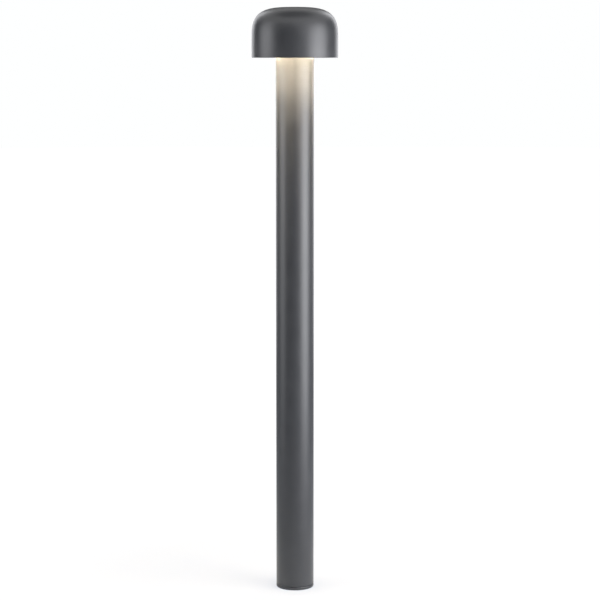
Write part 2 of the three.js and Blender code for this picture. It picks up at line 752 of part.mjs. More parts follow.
// Ring terminal flat on the tray, with its crimp barrel below it.
function earthLug() {
  const { ring: radius, front, neck: halfNeck, barrel, length, drop } = EARTH_LUG;
  const { x, z } = EARTH_POINT;
  const back = front + 1;
  const mouth = new THREE.Vector3(x, back - barrel, z - drop - length);
  const eye = rod(radius, new THREE.Vector3(x, front, z), UP_Y, back - front, 16);
  const neck = block([x - halfNeck, x + halfNeck], [front, back], [z - drop - 1, z]);
  const crimp = rod(barrel, mouth, UP, length);
  const screwHole = rod(clearanceHole(M4), new THREE.Vector3(x, front - 1, z), UP_Y, 3);
  const wireBore = rod(EARTH + LEAD_GAP, mouth.clone().addScaledVector(UP, -1), UP, 5);
  return carved(eye, { join: [neck, crimp], cut: [screwHole, wireBore] });
}

function addGear() {
  add("gear_tray", gearTray(), ZINC_STEEL);
  const trayScrew = screwGeometry(M4, 7.5);
  TRAY_SCREWS.forEach((height, i) => {
    const seat = new THREE.Vector3(0, TRAY.front - GAP, height);
    addScrew(`tray_screw_${i + 1}`, trayScrew, seat, FORWARD);
  });

  add("driver_case", driverCase(), ALUMINIUM);
  const lower = new THREE.Vector3(0, DRIVER_AXIS, DRIVER.bottom - DRIVER.cap);
  const upper = new THREE.Vector3(0, DRIVER_AXIS, DRIVER.top + DRIVER.cap);
  add("driver_cap_lower", driverCap(), BLACK_NYLON, lower);
  add("driver_cap_upper", driverCap().rotateY(Math.PI), BLACK_NYLON, upper);
  const driverScrew = screwGeometry(M4, 6);
  driverScrewHeights().forEach((height, i) => {
    const seat = new THREE.Vector3(0, TRAY.front - 2 * GAP - EAR.thickness, height);
    addScrew(`driver_screw_${i + 1}`, driverScrew, seat, FORWARD);
  });

  add("junction_body", junctionBody(), BLACK_NYLON);
  add("junction_gland", junctionGland(), BLACK_NYLON);
  add("junction_cap", junctionCap(), BLACK_NYLON);
  add("junction_clip", junctionClip(), ZINC_STEEL);
  const clipSeat = new THREE.Vector3(CLIP.screwX, TRAY.front - 2 * GAP - CLIP.tab, CLIP.height);
  addScrew("clip_screw", screwGeometry(M4, 4.5), clipSeat, FORWARD);

  add("earth_lug", earthLug(), ZINC_STEEL);
  const earthSeat = new THREE.Vector3(EARTH_POINT.x, EARTH_LUG.front - GAP, EARTH_POINT.z);
  addScrew("earth_screw", screwGeometry(M4, 4), earthSeat, FORWARD);
}

// ---- Leads --------------------------------------------------------------------------------------

// Where a lead ends inside the connector's cap.
const OUTLET_SEAT = JUNCTION.top + GAP + OUTLETS.height - OUTLETS.depth + LEAD_GAP;

// From the connector's cap up to the nose of the driver's lower end.
function driverLead() {
  const start = OUTLET_SEAT;
  const nose = DRIVER.bottom - DRIVER.cap - NOSE.length;
  const points = [
    [OUTLETS.lead, 0, start],
    [OUTLETS.lead, 0, start + 8],
    [OUTLETS.lead - 2, -1, start + 18],
    [-2, 1.5, nose - 14],
    [0, DRIVER_AXIS, nose - 5],
    [0, DRIVER_AXIS, nose + 6.5],
  ];
  return swept(points.map((p) => new THREE.Vector3(...p)), LEAD, 18);
}

function earthWire() {
  const start = OUTLET_SEAT;
  const barrel = EARTH_POINT.z - EARTH_LUG.drop - EARTH_LUG.length;
  const depth = EARTH_LUG.front + 1 - EARTH_LUG.barrel;
  const points = [
    [OUTLETS.earth, 0, start],
    [OUTLETS.earth, 0, start + 5],
    [OUTLETS.earth + 2, 3, start + 11],
    [EARTH_POINT.x, depth, barrel - 2],
    [EARTH_POINT.x, depth, barrel + 3.5],
  ];
  return swept(points.map((p) => new THREE.Vector3(...p)), EARTH, 14);
}

// From the driver up the tube, through the grommet, over the plate and into the board's connector.
function ledLead() {
  const start = DRIVER.top + DRIVER.cap + 2.5;
  const rise = [
    [0, DRIVER_AXIS, start],
    [0, DRIVER_AXIS, start + 14],
    [3, 0, start + 60],
    [-4, -3, start + 140],
    [4, 2, start + 230],
    [-3, 3, start + 320],
    [0, 0, RIM - 16],
    [0, 0, RIM + 20],
    [0, 0, RIM + 38],
  ].map((p) => new THREE.Vector3(...p));
  const over = [
    [2.5, 50],
    [9, 56],
    [16.5, 53],
    [21.5, 44],
    [26, 37],
    [30.5, PLUG.entry],
    [PLUG.near + 2, PLUG.entry],
  ].map(([radius, height]) => around(PLUG.angle, radius, RIM + height));
  return swept([...rise, ...over], LEAD, 64);
}

function addLeads() {
  add("driver_lead", driverLead(), LEAD_SHEATH);
  add("earth_wire", earthWire(), EARTH_SHEATH);
  add("led_lead", ledLead(), LEAD_SHEATH);
}

addHead();
addPole();
addFoot();
addGear();
addLeads();

export default bollard;
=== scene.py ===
"""Looks of the bollard light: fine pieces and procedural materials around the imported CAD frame.

The frame is in metres, +Z up, with the front towards -Y. Pieces are drawn in millimetres, like the CAD, and
turned into metres when they are linked. Places and main sizes come from the CAD nodes' boxes.
"""

import math
from types import SimpleNamespace as Sizes

import bmesh
import bpy
from mathutils import Matrix, Vector


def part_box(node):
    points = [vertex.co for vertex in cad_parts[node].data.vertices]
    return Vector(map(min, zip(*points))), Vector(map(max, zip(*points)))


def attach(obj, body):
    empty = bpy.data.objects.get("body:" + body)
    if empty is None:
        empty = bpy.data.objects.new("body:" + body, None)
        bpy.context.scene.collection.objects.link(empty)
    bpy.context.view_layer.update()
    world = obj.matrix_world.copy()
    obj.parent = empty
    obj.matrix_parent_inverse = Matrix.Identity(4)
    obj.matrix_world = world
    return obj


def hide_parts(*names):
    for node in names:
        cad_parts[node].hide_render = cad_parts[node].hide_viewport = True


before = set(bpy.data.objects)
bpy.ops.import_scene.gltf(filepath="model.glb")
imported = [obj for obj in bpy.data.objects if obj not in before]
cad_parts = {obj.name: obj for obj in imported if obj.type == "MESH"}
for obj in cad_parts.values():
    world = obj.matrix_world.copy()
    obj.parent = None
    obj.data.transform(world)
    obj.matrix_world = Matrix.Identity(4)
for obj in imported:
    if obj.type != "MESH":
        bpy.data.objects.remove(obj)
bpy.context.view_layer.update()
MM = 0.001
UP, DOWN, FORWARD, BACK = (0, 0, 1), (0, 0, -1), (0, -1, 0), (0, 1, 0)

# ---- Sizes from the CAD nodes, in millimetres ----


def low(node):
    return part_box(node)[0] / MM


def high(node):
    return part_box(node)[1] / MM


def heights(node):
    return low(node).z, high(node).z


RIM, HEAD_TOP = heights("head_shell")
HEAD_RADIUS = high("head_shell").x
POLE_RADIUS = high("pole_tube").x
POLE_BOTTOM, POLE_TOP = heights("pole_tube")
HUB_TOP = high("pole_hub").z
SPIGOT_TOP = high("base_casting").z
BEZEL_FACE, BEZEL_BACK = heights("bezel_ring")
BEZEL_RADIUS = high("bezel_ring").x
BOARD_BOTTOM, BOARD_TOP = heights("led_board")
BOARD_RADIUS = high("led_board").x
PLATE_BOTTOM, PLATE_TOP = heights("heat_spreader")
PLATE_RADIUS = high("heat_spreader").x
TRAY_FRONT, TRAY_BACK = low("gear_tray").y, high("gear_tray").y
DRIVER_BOTTOM, DRIVER_TOP = heights("driver_case")
JUNCTION_BOTTOM, JUNCTION_TOP = heights("junction_body")

# ---- Details, in millimetres ----

GAP = 0.3
LEAD_GAP = 0.5
HEAD_WALL = 3
DOME_HEIGHT = 47.5
DOME_POWER = 3.37  # exponent of the superellipse that the crown follows
HEAD_BORE = HEAD_RADIUS - HEAD_WALL
SKIRT_TOP = HEAD_TOP - DOME_HEIGHT
PLATE_HOLE = 8
LEDGE = Sizes(radius=51.5, bottom=RIM + 9.4, top=RIM + 15.4)
SHELL_BOSS = Sizes(ring=47, radius=4.2, height=34, rib=1.5, angles=(60, 180, 300))
BEZEL = Sizes(inner=49.5, ring=55, angles=(90, 210, 330))
POLE_WALL = 2.5
POLE_BORE = POLE_RADIUS - POLE_WALL
SPIGOT_RADIUS = POLE_BORE - GAP
SPIGOT_BORE = SPIGOT_RADIUS - 4
FOOT = Sizes(top=POLE_BOTTOM - GAP, floor=8, cable=8)
ANCHORS = Sizes(ring=14, hole=3.5, angles=(30, 150, 270))
LOCK = Sizes(height=34, angles=(40, 140))
HUB = Sizes(core=RIM + 12, bore=11, groove=(RIM + 6, RIM + 8.6), groove_radius=23)
HUB_SCREW = Sizes(height=RIM + 18, angles=(30, 150, 270))
SPREADER_SCREW = Sizes(ring=15, angles=(90, 210, 330))
BOARD = Sizes(inner=31, ring=37, screws=(0, 120, 240))
COLLAR = Sizes(inner=30.2, outer=31.8)
WEB = Sizes(bottom=RIM + 22.6, top=RIM + 23.8, inner=30.4, outer=44)
LED = Sizes(count=9, side=3.5, height=0.9)
PLUG = Sizes(angle=30, near=33.5, far=42.5, width=8, entry=RIM + 35.3)
TRAY = Sizes(half=17, tongue=11, shoulder=70, screws=(36, 54))
DRIVER = Sizes(half=15, depth=22, corner=3, cap=11, fins=(-8, -4, 0, 4, 8))
EAR = Sizes(length=9, half=6, thickness=2.6)
NOSE = Sizes(length=9, tip=3.4, root=4.6, bore=7)
JUNCTION = Sizes(radius=12, collar=10, nut=10.5, lead=-4, earth=5)
CLIP = Sizes(height=125, half=5, ring=12.5, wall=1.2, tab=1.5, screw_x=13.2, ear=17)
EARTH_POINT = Sizes(x=12, z=188)
LUG = Sizes(eye=4, barrel=2.4, length=9, drop=5)
LEAD = 2
EARTH = 1.3
NECK = POLE_RADIUS + 0.4
FLANGE = 2.6
TROUGH_WALL = 1.2
INLET = 4.5
EAR_REACH = EAR.length / 2 + DRIVER.cap + GAP
EAR_HEIGHTS = (DRIVER_BOTTOM - EAR_REACH, DRIVER_TOP + EAR_REACH)
LINE_STEPS = 10
DRIVER_AXIS = TRAY_FRONT - GAP - DRIVER.depth / 2

M3 = Sizes(shank=1.5, head=2.75, height=1.9, socket=1.1, pitch=0.5)
M4 = Sizes(shank=2, head=3.3, height=2.6, socket=1.4, pitch=0.7)
M4_LOW = Sizes(shank=2, head=3.4, height=1.2, socket=1.2, pitch=0.7)
M5_BUTTON = Sizes(shank=2.5, head=4.6, height=1.9, socket=1.7, pitch=0.8)

FINE = 192  # segments round the pieces that show most
ROUND = 96
MID = 48
SMALL = 24
TINY = 18
SMOOTH_ANGLE = math.radians(32)  # edges sharper than this stay sharp

# ---- Studio ----

CAMERA_DISTANCE = 2.75
LENS = 114.1
ASIDE = 0.0074  # the object stands this far left of the picture's middle
AIM_HEIGHT = 0.4277
PANEL_DISTANCE = 1.0
WARM = (1.0, 0.83, 0.57)
DAYLIGHT = (0.985, 0.995, 1.03)
BACKDROP = (0.992, 1, 1)
CEILING_FRONT = 2.3
CEILING_BACK = 1.1
CEILING_BAND = ((0.3, 0), (0.6, 1), (0.82, 1), (0.93, 0.25), (1, 0.25))
EVEN = ((0, 1), (1, 1))
BACK_RISE = ((0, 0.3), (0.5, 1), (1, 1))
SOFTBOXES = (  # name, bearing, width, bottom, top, radiance, share across, share upward
    (
        "key_right", 65, 1.24, 0, 1.35, 11.3,
        ((0, 0.2), (0.12, 0.5), (0.34, 0.84), (0.56, 1), (0.79, 0.48), (1, 0)),
        ((0, 0.58), (0.24, 0.76), (0.45, 0.96), (0.68, 0.68), (0.85, 0.34), (1, 0.15)),
    ),
    (
        "fill_left", -79, 1.0, 0, 1.4, 5.5,
        ((0, 0.15), (0.12, 0.35), (0.4, 0.9), (0.66, 1), (0.94, 0.2), (1, 0)),
        ((0, 0.2), (0.24, 0.42), (0.42, 0.62), (0.58, 1), (0.85, 0.5), (1, 0.2)),
    ),
    (
        "brow", 20, 0.75, 0, 1.4, 1.2,
        ((0, 0.3), (0.6, 1), (1, 0.4)),
        ((0, 0.5), (0.5, 0.5), (0.6, 1), (1, 1)),
    ),
    ("back_left", -150, 0.4, 0.2, 1.6, 2.8, EVEN, BACK_RISE),
    ("back_right", 150, 0.4, 0.2, 1.6, 2.8, EVEN, BACK_RISE),
)
FLOOR_RADIUS = 14
FLOOR_REACH = 1.6
FLOOR_BOUNCE = ((0, (0.56, 0.59, 0.64)), (0.2, (0.37, 0.39, 0.42)))
FLOOR_SHARE = (0.2, 0.185, 0.155)  # how much of the studio's light the camera sees on the floor
FLOOR_GLOW_AND_PAINTED_SHADE = (  # painted emission added to that share: it keeps the floor white where no shadow falls, is a little too low for white near the base, which paints a faint shade round the foot, and is bluer than the share, so shadows read bluish
    (0, (0.502, 0.555, 0.654)),
    (0.06, (0.52, 0.573, 0.668)),
    (0.125, (0.538, 0.588, 0.677)),
    (0.18, (0.573, 0.616, 0.693)),
    (0.28, (0.647, 0.683, 0.75)),
    (0.44, (0.715, 0.74, 0.787)),
    (0.57, (0.787, 0.804, 0.84)),
    (1, (0.86, 0.872, 0.9)),
)
GLOW_SIZE = 4
GLOW_RADIUS = 46
GLOW_DROP = 0.6  # below the bezel's face
GLOW_PARTS = (  # name, how many, turned by degrees, spread in degrees, watts
    ("wide", 18, 0, 180, 0.034),
    ("middle", 9, 20, 130, 0.115),
    ("narrow", 9, 0, 80, 0.086),
)


def aimed(obj, place, target):
    obj.location = place
    obj.rotation_mode = "QUATERNION"
    obj.rotation_quaternion = (Vector(target) - Vector(place)).to_track_quat("-Z", "Y")


def linked(name, data):
    obj = bpy.data.objects.new(name, data)
    bpy.context.scene.collection.objects.link(obj)
    return obj


def make_camera():
    """Level with the rim, so that the rim is a straight line."""
    data = bpy.data.cameras.new("camera")
    data.lens = LENS
    data.sensor_width = 36
    camera = linked("camera", data)
    aimed(camera, (ASIDE, -CAMERA_DISTANCE, RIM * MM), (ASIDE, 0, AIM_HEIGHT))
    bpy.context.scene.camera = camera


class Graph:
    """A node tree whose wiring takes few words."""

    def __init__(self, tree):
        self.nodes, self.links = tree.nodes, tree.links

    def new(self, kind, operation=None):
        node = self.nodes.new("ShaderNode" + kind)
        if operation:
            node.operation = operation
        return node

    def link(self, value, node, name):
        self.links.new(value, node.inputs[name])

    def split(self, vector):
        node = self.new("SeparateXYZ")
        self.link(vector, node, 0)
        return node.outputs

    def length(self, vector):
        node = self.new("VectorMath", "LENGTH")
        self.link(vector, node, 0)
        return node.outputs["Value"]

    def product(self, first, second):
        node = self.new("Math", "MULTIPLY")
        self.link(first, node, 0)
        self.link(second, node, 1)
        return node.outputs[0]

    def ranged(self, value, first, last, source=(0.3, 0.7)):
        node = self.new("MapRange")
        node.inputs["From Min"].default_value, node.inputs["From Max"].default_value = source
        node.inputs["To Min"].default_value = first
        node.inputs["To Max"].default_value = last
        self.link(value, node, "Value")
        return node.outputs["Result"]

    def coloured(self, value, pairs, interpolation="LINEAR"):
        """Colour along value as (place, colour) pairs."""
        node = self.new("ValToRGB")
        node.color_ramp.interpolation = interpolation
        stops = node.color_ramp.elements
        while len(stops) < len(pairs):
            stops.new(0.5)
        for stop, (place, colour) in zip(stops, pairs):
            stop.position = place
            stop.color = (*colour, 1)
        self.link(value, node, "Fac")
        return node.outputs["Color"]

    def shares(self, value, pairs):
        """Brightness along value as (place, share) pairs."""
        return self.coloured(value, [(place, (s, s, s)) for place, s in pairs], "EASE")

    def two_faced(self, others, camera):
        """One shader for the camera's own rays and another for all other rays."""
        mix = self.new("MixShader")
        self.link(self.new("LightPath").outputs["Is Camera Ray"], mix, "Fac")
        self.link(others.outputs[0], mix, 1)
        self.link(camera.outputs[0], mix, 2)
        return mix.outputs[0]


def softbox(name, bearing, width, bottom, top, radiance, across, upward):
    """A panel of light that faces the object. Bearing 0 is towards the camera and 90 towards +X.

    across runs from the lower bearing to the higher one, and upward from the bottom to the top.
    """
    data = bpy.data.lights.new(name, "AREA")
    data.shape = "RECTANGLE"
    data.size = width
    data.size_y = top - bottom
    data.energy = radiance * math.pi * width * data.size_y
    data.color = DAYLIGHT
    data.use_nodes = True
    graph = Graph(data.node_tree)
    place = graph.split(graph.new("NewGeometry").outputs["Parametric"])
    strength = graph.product(graph.shares(place["X"], across), graph.shares(place["Y"], upward))
    graph.link(strength, graph.nodes["Emission"], "Strength")
    light = linked(name, data)
    a = math.radians(bearing)
    middle = (bottom + top) / 2
    aimed(light, (PANEL_DISTANCE * math.sin(a), -PANEL_DISTANCE * math.cos(a), middle), (0, 0, middle))
    light.visible_camera = False


def make_world():
    """White to the camera. What lights the object is a band of ceiling, brighter towards the front."""
    world = bpy.data.worlds.new("studio")
    bpy.context.scene.world = world
    world.use_nodes = True
    graph = Graph(world.node_tree)
    graph.nodes.clear()
    seen, lighting = graph.new("Background"), graph.new("Background")
    seen.inputs["Color"].default_value = (*BACKDROP, 1)
    way = graph.split(graph.new("TexCoord").outputs["Generated"])
    facing = graph.ranged(way["Y"], CEILING_FRONT, CEILING_BACK, (-0.7, 0.7))
    graph.link(graph.product(graph.shares(way["Z"], CEILING_BAND), facing), lighting, "Strength")
    graph.link(graph.two_faced(lighting, seen), graph.new("OutputWorld"), "Surface")


def make_floor():
    """Nearly white to the camera: painted emission plus a share of the studio's light, which leaves the faint
    shadows in; the emission is a little low near the base, a painted shade round the foot. It bounces light
    as paper would, paler near the base.
    """
    made = bmesh.new()
    bmesh.ops.create_circle(made, cap_ends=True, segments=ROUND, radius=FLOOR_RADIUS / MM)
    paper = Finish("floor_paper", 0.9).set(Specular_IOR_Level=0.1)
    share = paper.ranged(paper.length(paper.coords), 0, 1, (0, FLOOR_REACH))
    paper.link(paper.coloured(share, FLOOR_BOUNCE), paper.shader, "Base Color")
    seen, painted_glow_and_shade, lit = paper.new("BsdfDiffuse"), paper.new("Emission"), paper.new("AddShader")
    seen.inputs["Color"].default_value = (*FLOOR_SHARE, 1)
    # Painted light: this emission is a little too low near the base, which paints a faint bluish shade round
    # the foot.
    paper.link(paper.coloured(share, FLOOR_GLOW_AND_PAINTED_SHADE), painted_glow_and_shade, "Color")
    paper.link(seen.outputs[0], lit, 0)
    paper.link(painted_glow_and_shade.outputs[0], lit, 1)
    paper.link(paper.two_faced(paper.shader, lit), paper.nodes["Material Output"], "Surface")
    link_mesh("floor", made, paper)


def glow_ring():
    """What leaves the opal ring: a wide part, and two parts that the reflector throws down the tube."""
    for part, count, turned, spread, watts in GLOW_PARTS:
        for k in range(count):
            data = bpy.data.lights.new(f"glow_{part}_{k}", "AREA")
            data.shape = "DISK"
            data.size = GLOW_SIZE * MM
            data.spread = math.radians(spread)
            data.energy = watts
            data.color = WARM
            light = linked(data.name, data)
            light.location = around(360 / count * k + turned, GLOW_RADIUS, BEZEL_FACE - GLOW_DROP) * MM
            light.visible_camera = False


def make_studio():
    bpy.context.scene.view_settings.view_transform = "Standard"
    make_world()
    make_floor()
    for panel in SOFTBOXES:
        softbox(*panel)
    glow_ring()


# ---- Mesh tools, in millimetres ----


def around(angle, radius, z):
    a = math.radians(angle)
    return Vector((radius * math.cos(a), radius * math.sin(a), z))


def link_mesh(name, made, *finishes):
    bmesh.ops.recalc_face_normals(made, faces=made.faces)
    mesh = bpy.data.meshes.new(name)
    made.to_mesh(mesh)
    made.free()
    mesh.transform(Matrix.Scale(MM, 4))
    for finish in finishes:
        mesh.materials.append(finish.material)
    mesh.shade_smooth()
    mesh.set_sharp_from_angle(angle=SMOOTH_ANGLE)
    return linked(name, mesh)


def piece(name, made, node, *finishes):
    """A mesh that stands for a CAD node of the same place and size, with its finishes' materials; the node is
    hidden.
    """
    obj = link_mesh(name, made, *finishes)
    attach(obj, "root")
    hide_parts(node)
    return obj


def rounded(corners, steps=5):
    """A closed outline from (radius, height, fillet) corners, with an arc at each fillet."""
    points = []
    for i, (r, z, fillet) in enumerate(corners):
        here = Vector((r, z))
        if not fillet:
            points.append((r, z))
            continue
        before = (Vector(corners[i - 1][:2]) - here).normalized()
        after = (Vector(corners[(i + 1) % len(corners)][:2]) - here).normalized()
        half = before.angle(after) / 2
        reach = fillet / math.tan(half)
        centre = here + (before + after).normalized() * (fillet / math.sin(half))
        start, end = here + before * reach - centre, here + after * reach - centre
        turn = start.angle_signed(end)
        for k in range(steps + 1):
            points.append(tuple(centre + Matrix.Rotation(-turn * k / steps, 2) @ start))
    return points


def lofted(rings, closed=True):
    """Skin over rings of points. A ring of one point is a pole."""
    made = bmesh.new()
    rows = [[made.verts.new(p) for p in ring] for ring in rings]
    pairs = list(zip(rows, rows[1:] + rows[:1] if closed else rows[1:]))
    for first, second in pairs:
        count = max(len(first), len(second))
        if count == 1:
            continue
        for k in range(count):
            m = (k + 1) % count
            corners = [
                first[k % len(first)],
                first[m % len(first)],
                second[m % len(second)],
                second[k % len(second)],
            ]
            made.faces.new(list(dict.fromkeys(corners)))
    return made


def hexagon(radius, a):
    """Distance from the middle of a hexagon to its side, at the angle a."""
    return radius * math.cos(math.pi / 6) / math.cos(a % (math.pi / 3) - math.pi / 6)


def circle(radius, z, segments, hexed=False, turn=0.0):
    ring = []
    for k in range(segments):
        a = 2 * math.pi * k / segments
        reach = hexagon(radius, a) if hexed else radius
        a += math.radians(turn)
        ring.append((reach * math.cos(a), reach * math.sin(a), z))
    return ring


def turned(outline, segments, turn=0.0):
    """A closed outline of (radius, height) turned about Z. A third entry, hex, makes that ring a hexagon."""
    rings = []
    for r, z, *shape in outline:
        rings.append(circle(r, z, segments, bool(shape), turn) if r > 1e-6 else [(0, 0, z)])
    return lofted(rings)


def moved(made, place, direction=(0, 0, 1), spin=0.0):
    """Stands a mesh that was made along Z at a place, along a direction."""
    way = Vector(direction).to_track_quat("Z", "Y").to_matrix().to_4x4()
    made.transform(Matrix.Translation(place) @ way @ Matrix.Rotation(math.radians(spin), 4, "Z"))
    return made


def spun(made, angle):
    made.transform(Matrix.Rotation(math.radians(angle), 4, "Z"))
    return made


def rod(radius, start, direction, length, segments=SMALL):
    outline = [(0, 0), (radius, 0), (radius, length), (0, length)]
    return moved(turned(outline, segments), start, direction)


def flared(radius, start, direction, length, flare=0.4, segments=SMALL):
    """A cutter for a hole with a small chamfer at its mouth, which is at start."""
    wide = radius + 2 * flare
    outline = [(0, -flare), (wide, -flare), (radius, flare), (radius, length), (0, length)]
    return moved(turned(outline, segments), start, direction)


def block(x, y, z, edge=0.0):
    made = bmesh.new()
    bmesh.ops.create_cube(made, size=1)
    size = (x[1] - x[0], y[1] - y[0], z[1] - z[0])
    middle = ((x[0] + x[1]) / 2, (y[0] + y[1]) / 2, (z[0] + z[1]) / 2)
    made.transform(Matrix.Translation(middle) @ Matrix.Diagonal((*size, 1)))
    if edge:
        bmesh.ops.bevel(made, geom=made.edges[:], offset=edge, segments=3, profile=0.5, affect="EDGES")
    return made


def plate(outline, y, edge):
    """A sheet drawn as (x, z) points, between two depths, with its rims rounded."""
    made = bmesh.new()
    face = made.faces.new([made.verts.new((x, y[0], z)) for x, z in outline])
    grown = bmesh.ops.extrude_face_region(made, geom=[face])
    for item in grown["geom"]:
        if isinstance(item, bmesh.types.BMVert):
            item.co.y = y[1]
    rims = [e for e in made.edges if abs(e.verts[0].co.y - e.verts[1].co.y) < 1e-6]
    bmesh.ops.bevel(made, geom=rims, offset=edge, segments=2, profile=0.5, affect="EDGES")
    return made


def arc(centre, radius, start, end, steps=6):
    angles = [math.radians(start + (end - start) * k / steps) for k in range(steps + 1)]
    return [(centre[0] + radius * math.cos(a), centre[1] + radius * math.sin(a)) for a in angles]


def combined(made, changes):
    """made after each (operation, other mesh) in turn."""
    base = link_mesh("shape", made)
    tools = []
    for operation, shape in changes:
        tool = link_mesh("tool", shape)
        change = base.modifiers.new("change", "BOOLEAN")
        change.operation = operation
        change.solver = "EXACT"
        change.object = tool
        tools.append(tool)
    shown = base.evaluated_get(bpy.context.evaluated_depsgraph_get())
    result = bmesh.new()
    result.from_mesh(shown.to_mesh())
    shown.to_mesh_clear()
    result.transform(Matrix.Scale(1 / MM, 4))
    for obj in (base, *tools):
        mesh = obj.data
        bpy.data.objects.remove(obj)
        bpy.data.meshes.remove(mesh)
    return result


def carved(made, join=(), cut=()):
    """One mesh with others joined to it and others cut from it."""
    return combined(made, [("UNION", shape) for shape in join] + [("DIFFERENCE", shape) for shape in cut])


def common(first, second):
    return combined(first, [("INTERSECT", second)])


def section(inner, outer, bottom, top, fillets, steps=5):
    """Outline of a plain ring, with a fillet at its inner foot, outer foot, outer top and inner top."""
    corners = zip((inner, outer, outer, inner), (bottom, bottom, top, top), fillets)
    return rounded(list(corners), steps)


def clear(size):
    """Radius of a hole that a screw's shank passes with a gap."""
    return size.shank + GAP


def drilled(radius, ring, angles, bottom, depth):
    """Cutters for upright holes on a ring."""
    return [rod(radius, around(a, ring, bottom), UP, depth) for a in angles]


def pierced(radius, reach, angles, height, depth):
    """Cutters for holes that point away from the axis."""
    return [rod(radius, around(a, reach, height), around(a, 1, 0), depth) for a in angles]


# ---- Materials ----


class Finish(Graph):
    """A Principled material whose noises are placed on the object, in its own metres."""

    def __init__(self, name, roughness, metallic=0.0, slot=None):
        self.slot = slot or name
        self.material = bpy.data.materials.new(name)
        self.material.use_nodes = True
        super().__init__(self.material.node_tree)
        self.shader = self.nodes["Principled BSDF"]
        self.coords = self.new("TexCoord").outputs["Object"]
        self.normal = None
        self.set(Roughness=roughness, Metallic=metallic)

    def set(self, **sockets):
        for name, value in sockets.items():
            self.shader.inputs[name.replace("_", " ")].default_value = value
        return self

    def stretched(self, x, y, z):
        node = self.new("Mapping")
        node.inputs["Scale"].default_value = (x, y, z)
        self.link(self.coords, node, "Vector")
        return node.outputs["Vector"]

    def noise(self, scale, detail=2.0, vector=None):
        node = self.new("TexNoise")
        node.inputs["Scale"].default_value = scale
        node.inputs["Detail"].default_value = detail
        self.link(vector or self.coords, node, "Vector")
        return node.outputs["Fac"]

    def rings(self):
        """Fine noise that is the same all the way round the Z axis, as turning marks are."""
        place = self.split(self.coords)
        flat, line = self.new("CombineXYZ"), self.new("CombineXYZ")
        self.link(place["X"], flat, "X")
        self.link(place["Y"], flat, "Y")
        self.link(self.length(flat.outputs[0]), line, "X")
        self.link(place["Z"], line, "Y")
        return self.noise(2500, 2, line.outputs[0])

    def tinted(self, factor, first, second):
        mix = self.new("Mix")
        mix.data_type = "RGBA"
        mix.inputs["A"].default_value = (*first, 1)
        mix.inputs["B"].default_value = (*second, 1)
        self.link(self.ranged(factor, 0, 1), mix, "Factor")
        self.link(mix.outputs["Result"], self.shader, "Base Color")
        return self

    def uneven(self, factor, first, second):
        self.link(self.ranged(factor, first, second), self.shader, "Roughness")
        return self

    def bumped(self, height, millimetres):
        bump = self.new("Bump")
        bump.inputs["Distance"].default_value = millimetres * MM
        self.link(height, bump, "Height")
        if self.normal:
            self.link(self.normal, bump, "Normal")
        self.normal = bump.outputs["Normal"]
        self.link(self.normal, self.shader, "Normal")
        return self


# Satin anthracite powder coat: orange peel, a faint speckle and a slightly uneven sheen.
PAINT = Finish("powder_coat", 0.37)
cloud = PAINT.noise(35, 3)
PAINT.tinted(cloud, (0.0233, 0.0241, 0.0264), (0.0282, 0.029, 0.0316)).uneven(cloud, 0.34, 0.4)
PAINT.bumped(PAINT.noise(700), 0.03).bumped(PAINT.noise(2600, 1), 0.006)

# Opal acrylic, lit from behind, with a soft moulded grain.
OPAL = Finish("opal_diffuser", 0.35).set(Emission_Color=(*WARM, 1), Emission_Strength=15)
OPAL.set(Subsurface_Weight=0.3, Subsurface_Radius=(2 * MM, 1.6 * MM, 1.2 * MM))
OPAL.tinted(OPAL.noise(60), (0.86, 0.81, 0.72), (0.9, 0.86, 0.78)).bumped(OPAL.noise(900), 0.01)

SILICONE = Finish("silicone", 0.75).set(Specular_IOR_Level=0.35)
SILICONE.tinted(SILICONE.noise(300), (0.018, 0.018, 0.019), (0.028, 0.028, 0.03))
SILICONE.bumped(SILICONE.noise(1800), 0.02)

# Diffuse white moulding for the reflector and the plug.
WHITE = Finish("white_plastic", 0.5)
WHITE.tinted(WHITE.noise(120), (0.82, 0.82, 0.79), (0.88, 0.88, 0.86)).bumped(WHITE.noise(1500), 0.015)

# White solder mask, glossier where it lies over the copper that joins the LEDs.
MASK = Finish("board_mask", 0.35).set(Coat_Weight=0.3)
MASK.tinted(MASK.noise(90), (0.76, 0.78, 0.74), (0.82, 0.83, 0.8)).uneven(MASK.noise(260), 0.3, 0.42)
MASK.bumped(MASK.rings(), 0.02)

PHOSPHOR = Finish("led_phosphor", 0.4).set(Emission_Color=(1, 0.78, 0.45, 1), Emission_Strength=9)
PHOSPHOR.tinted(PHOSPHOR.noise(3000), (0.86, 0.66, 0.14), (0.9, 0.74, 0.22))
PHOSPHOR.bumped(PHOSPHOR.noise(6000), 0.01)

CERAMIC = Finish("led_body", 0.45)
CERAMIC.tinted(CERAMIC.noise(800), (0.8, 0.79, 0.74), (0.86, 0.85, 0.81)).bumped(CERAMIC.noise(4000), 0.006)

# Turned aluminium: rings of fine tool marks under a satin sheen.
TURNED = Finish("aluminium_turned", 0.34, 1, "aluminium")
marks = TURNED.rings()
TURNED.tinted(marks, (0.6, 0.61, 0.63), (0.72, 0.73, 0.74)).uneven(TURNED.noise(45, 3), 0.28, 0.42)
TURNED.bumped(marks, 0.012)

CAST = Finish("aluminium_cast", 0.5, 1, "aluminium")
CAST.tinted(CAST.noise(50, 4), (0.5, 0.51, 0.52), (0.62, 0.63, 0.64)).uneven(CAST.noise(200, 3), 0.42, 0.58)
CAST.bumped(CAST.noise(900, 3), 0.05)

# Anodised aluminium with faint draw lines along Z.
EXTRUDED = Finish("aluminium_extruded", 0.38, 1, "aluminium")
lines = EXTRUDED.noise(1, 3, EXTRUDED.stretched(2600, 2600, 8))
EXTRUDED.tinted(lines, (0.56, 0.57, 0.6), (0.66, 0.67, 0.69)).bumped(lines, 0.01)

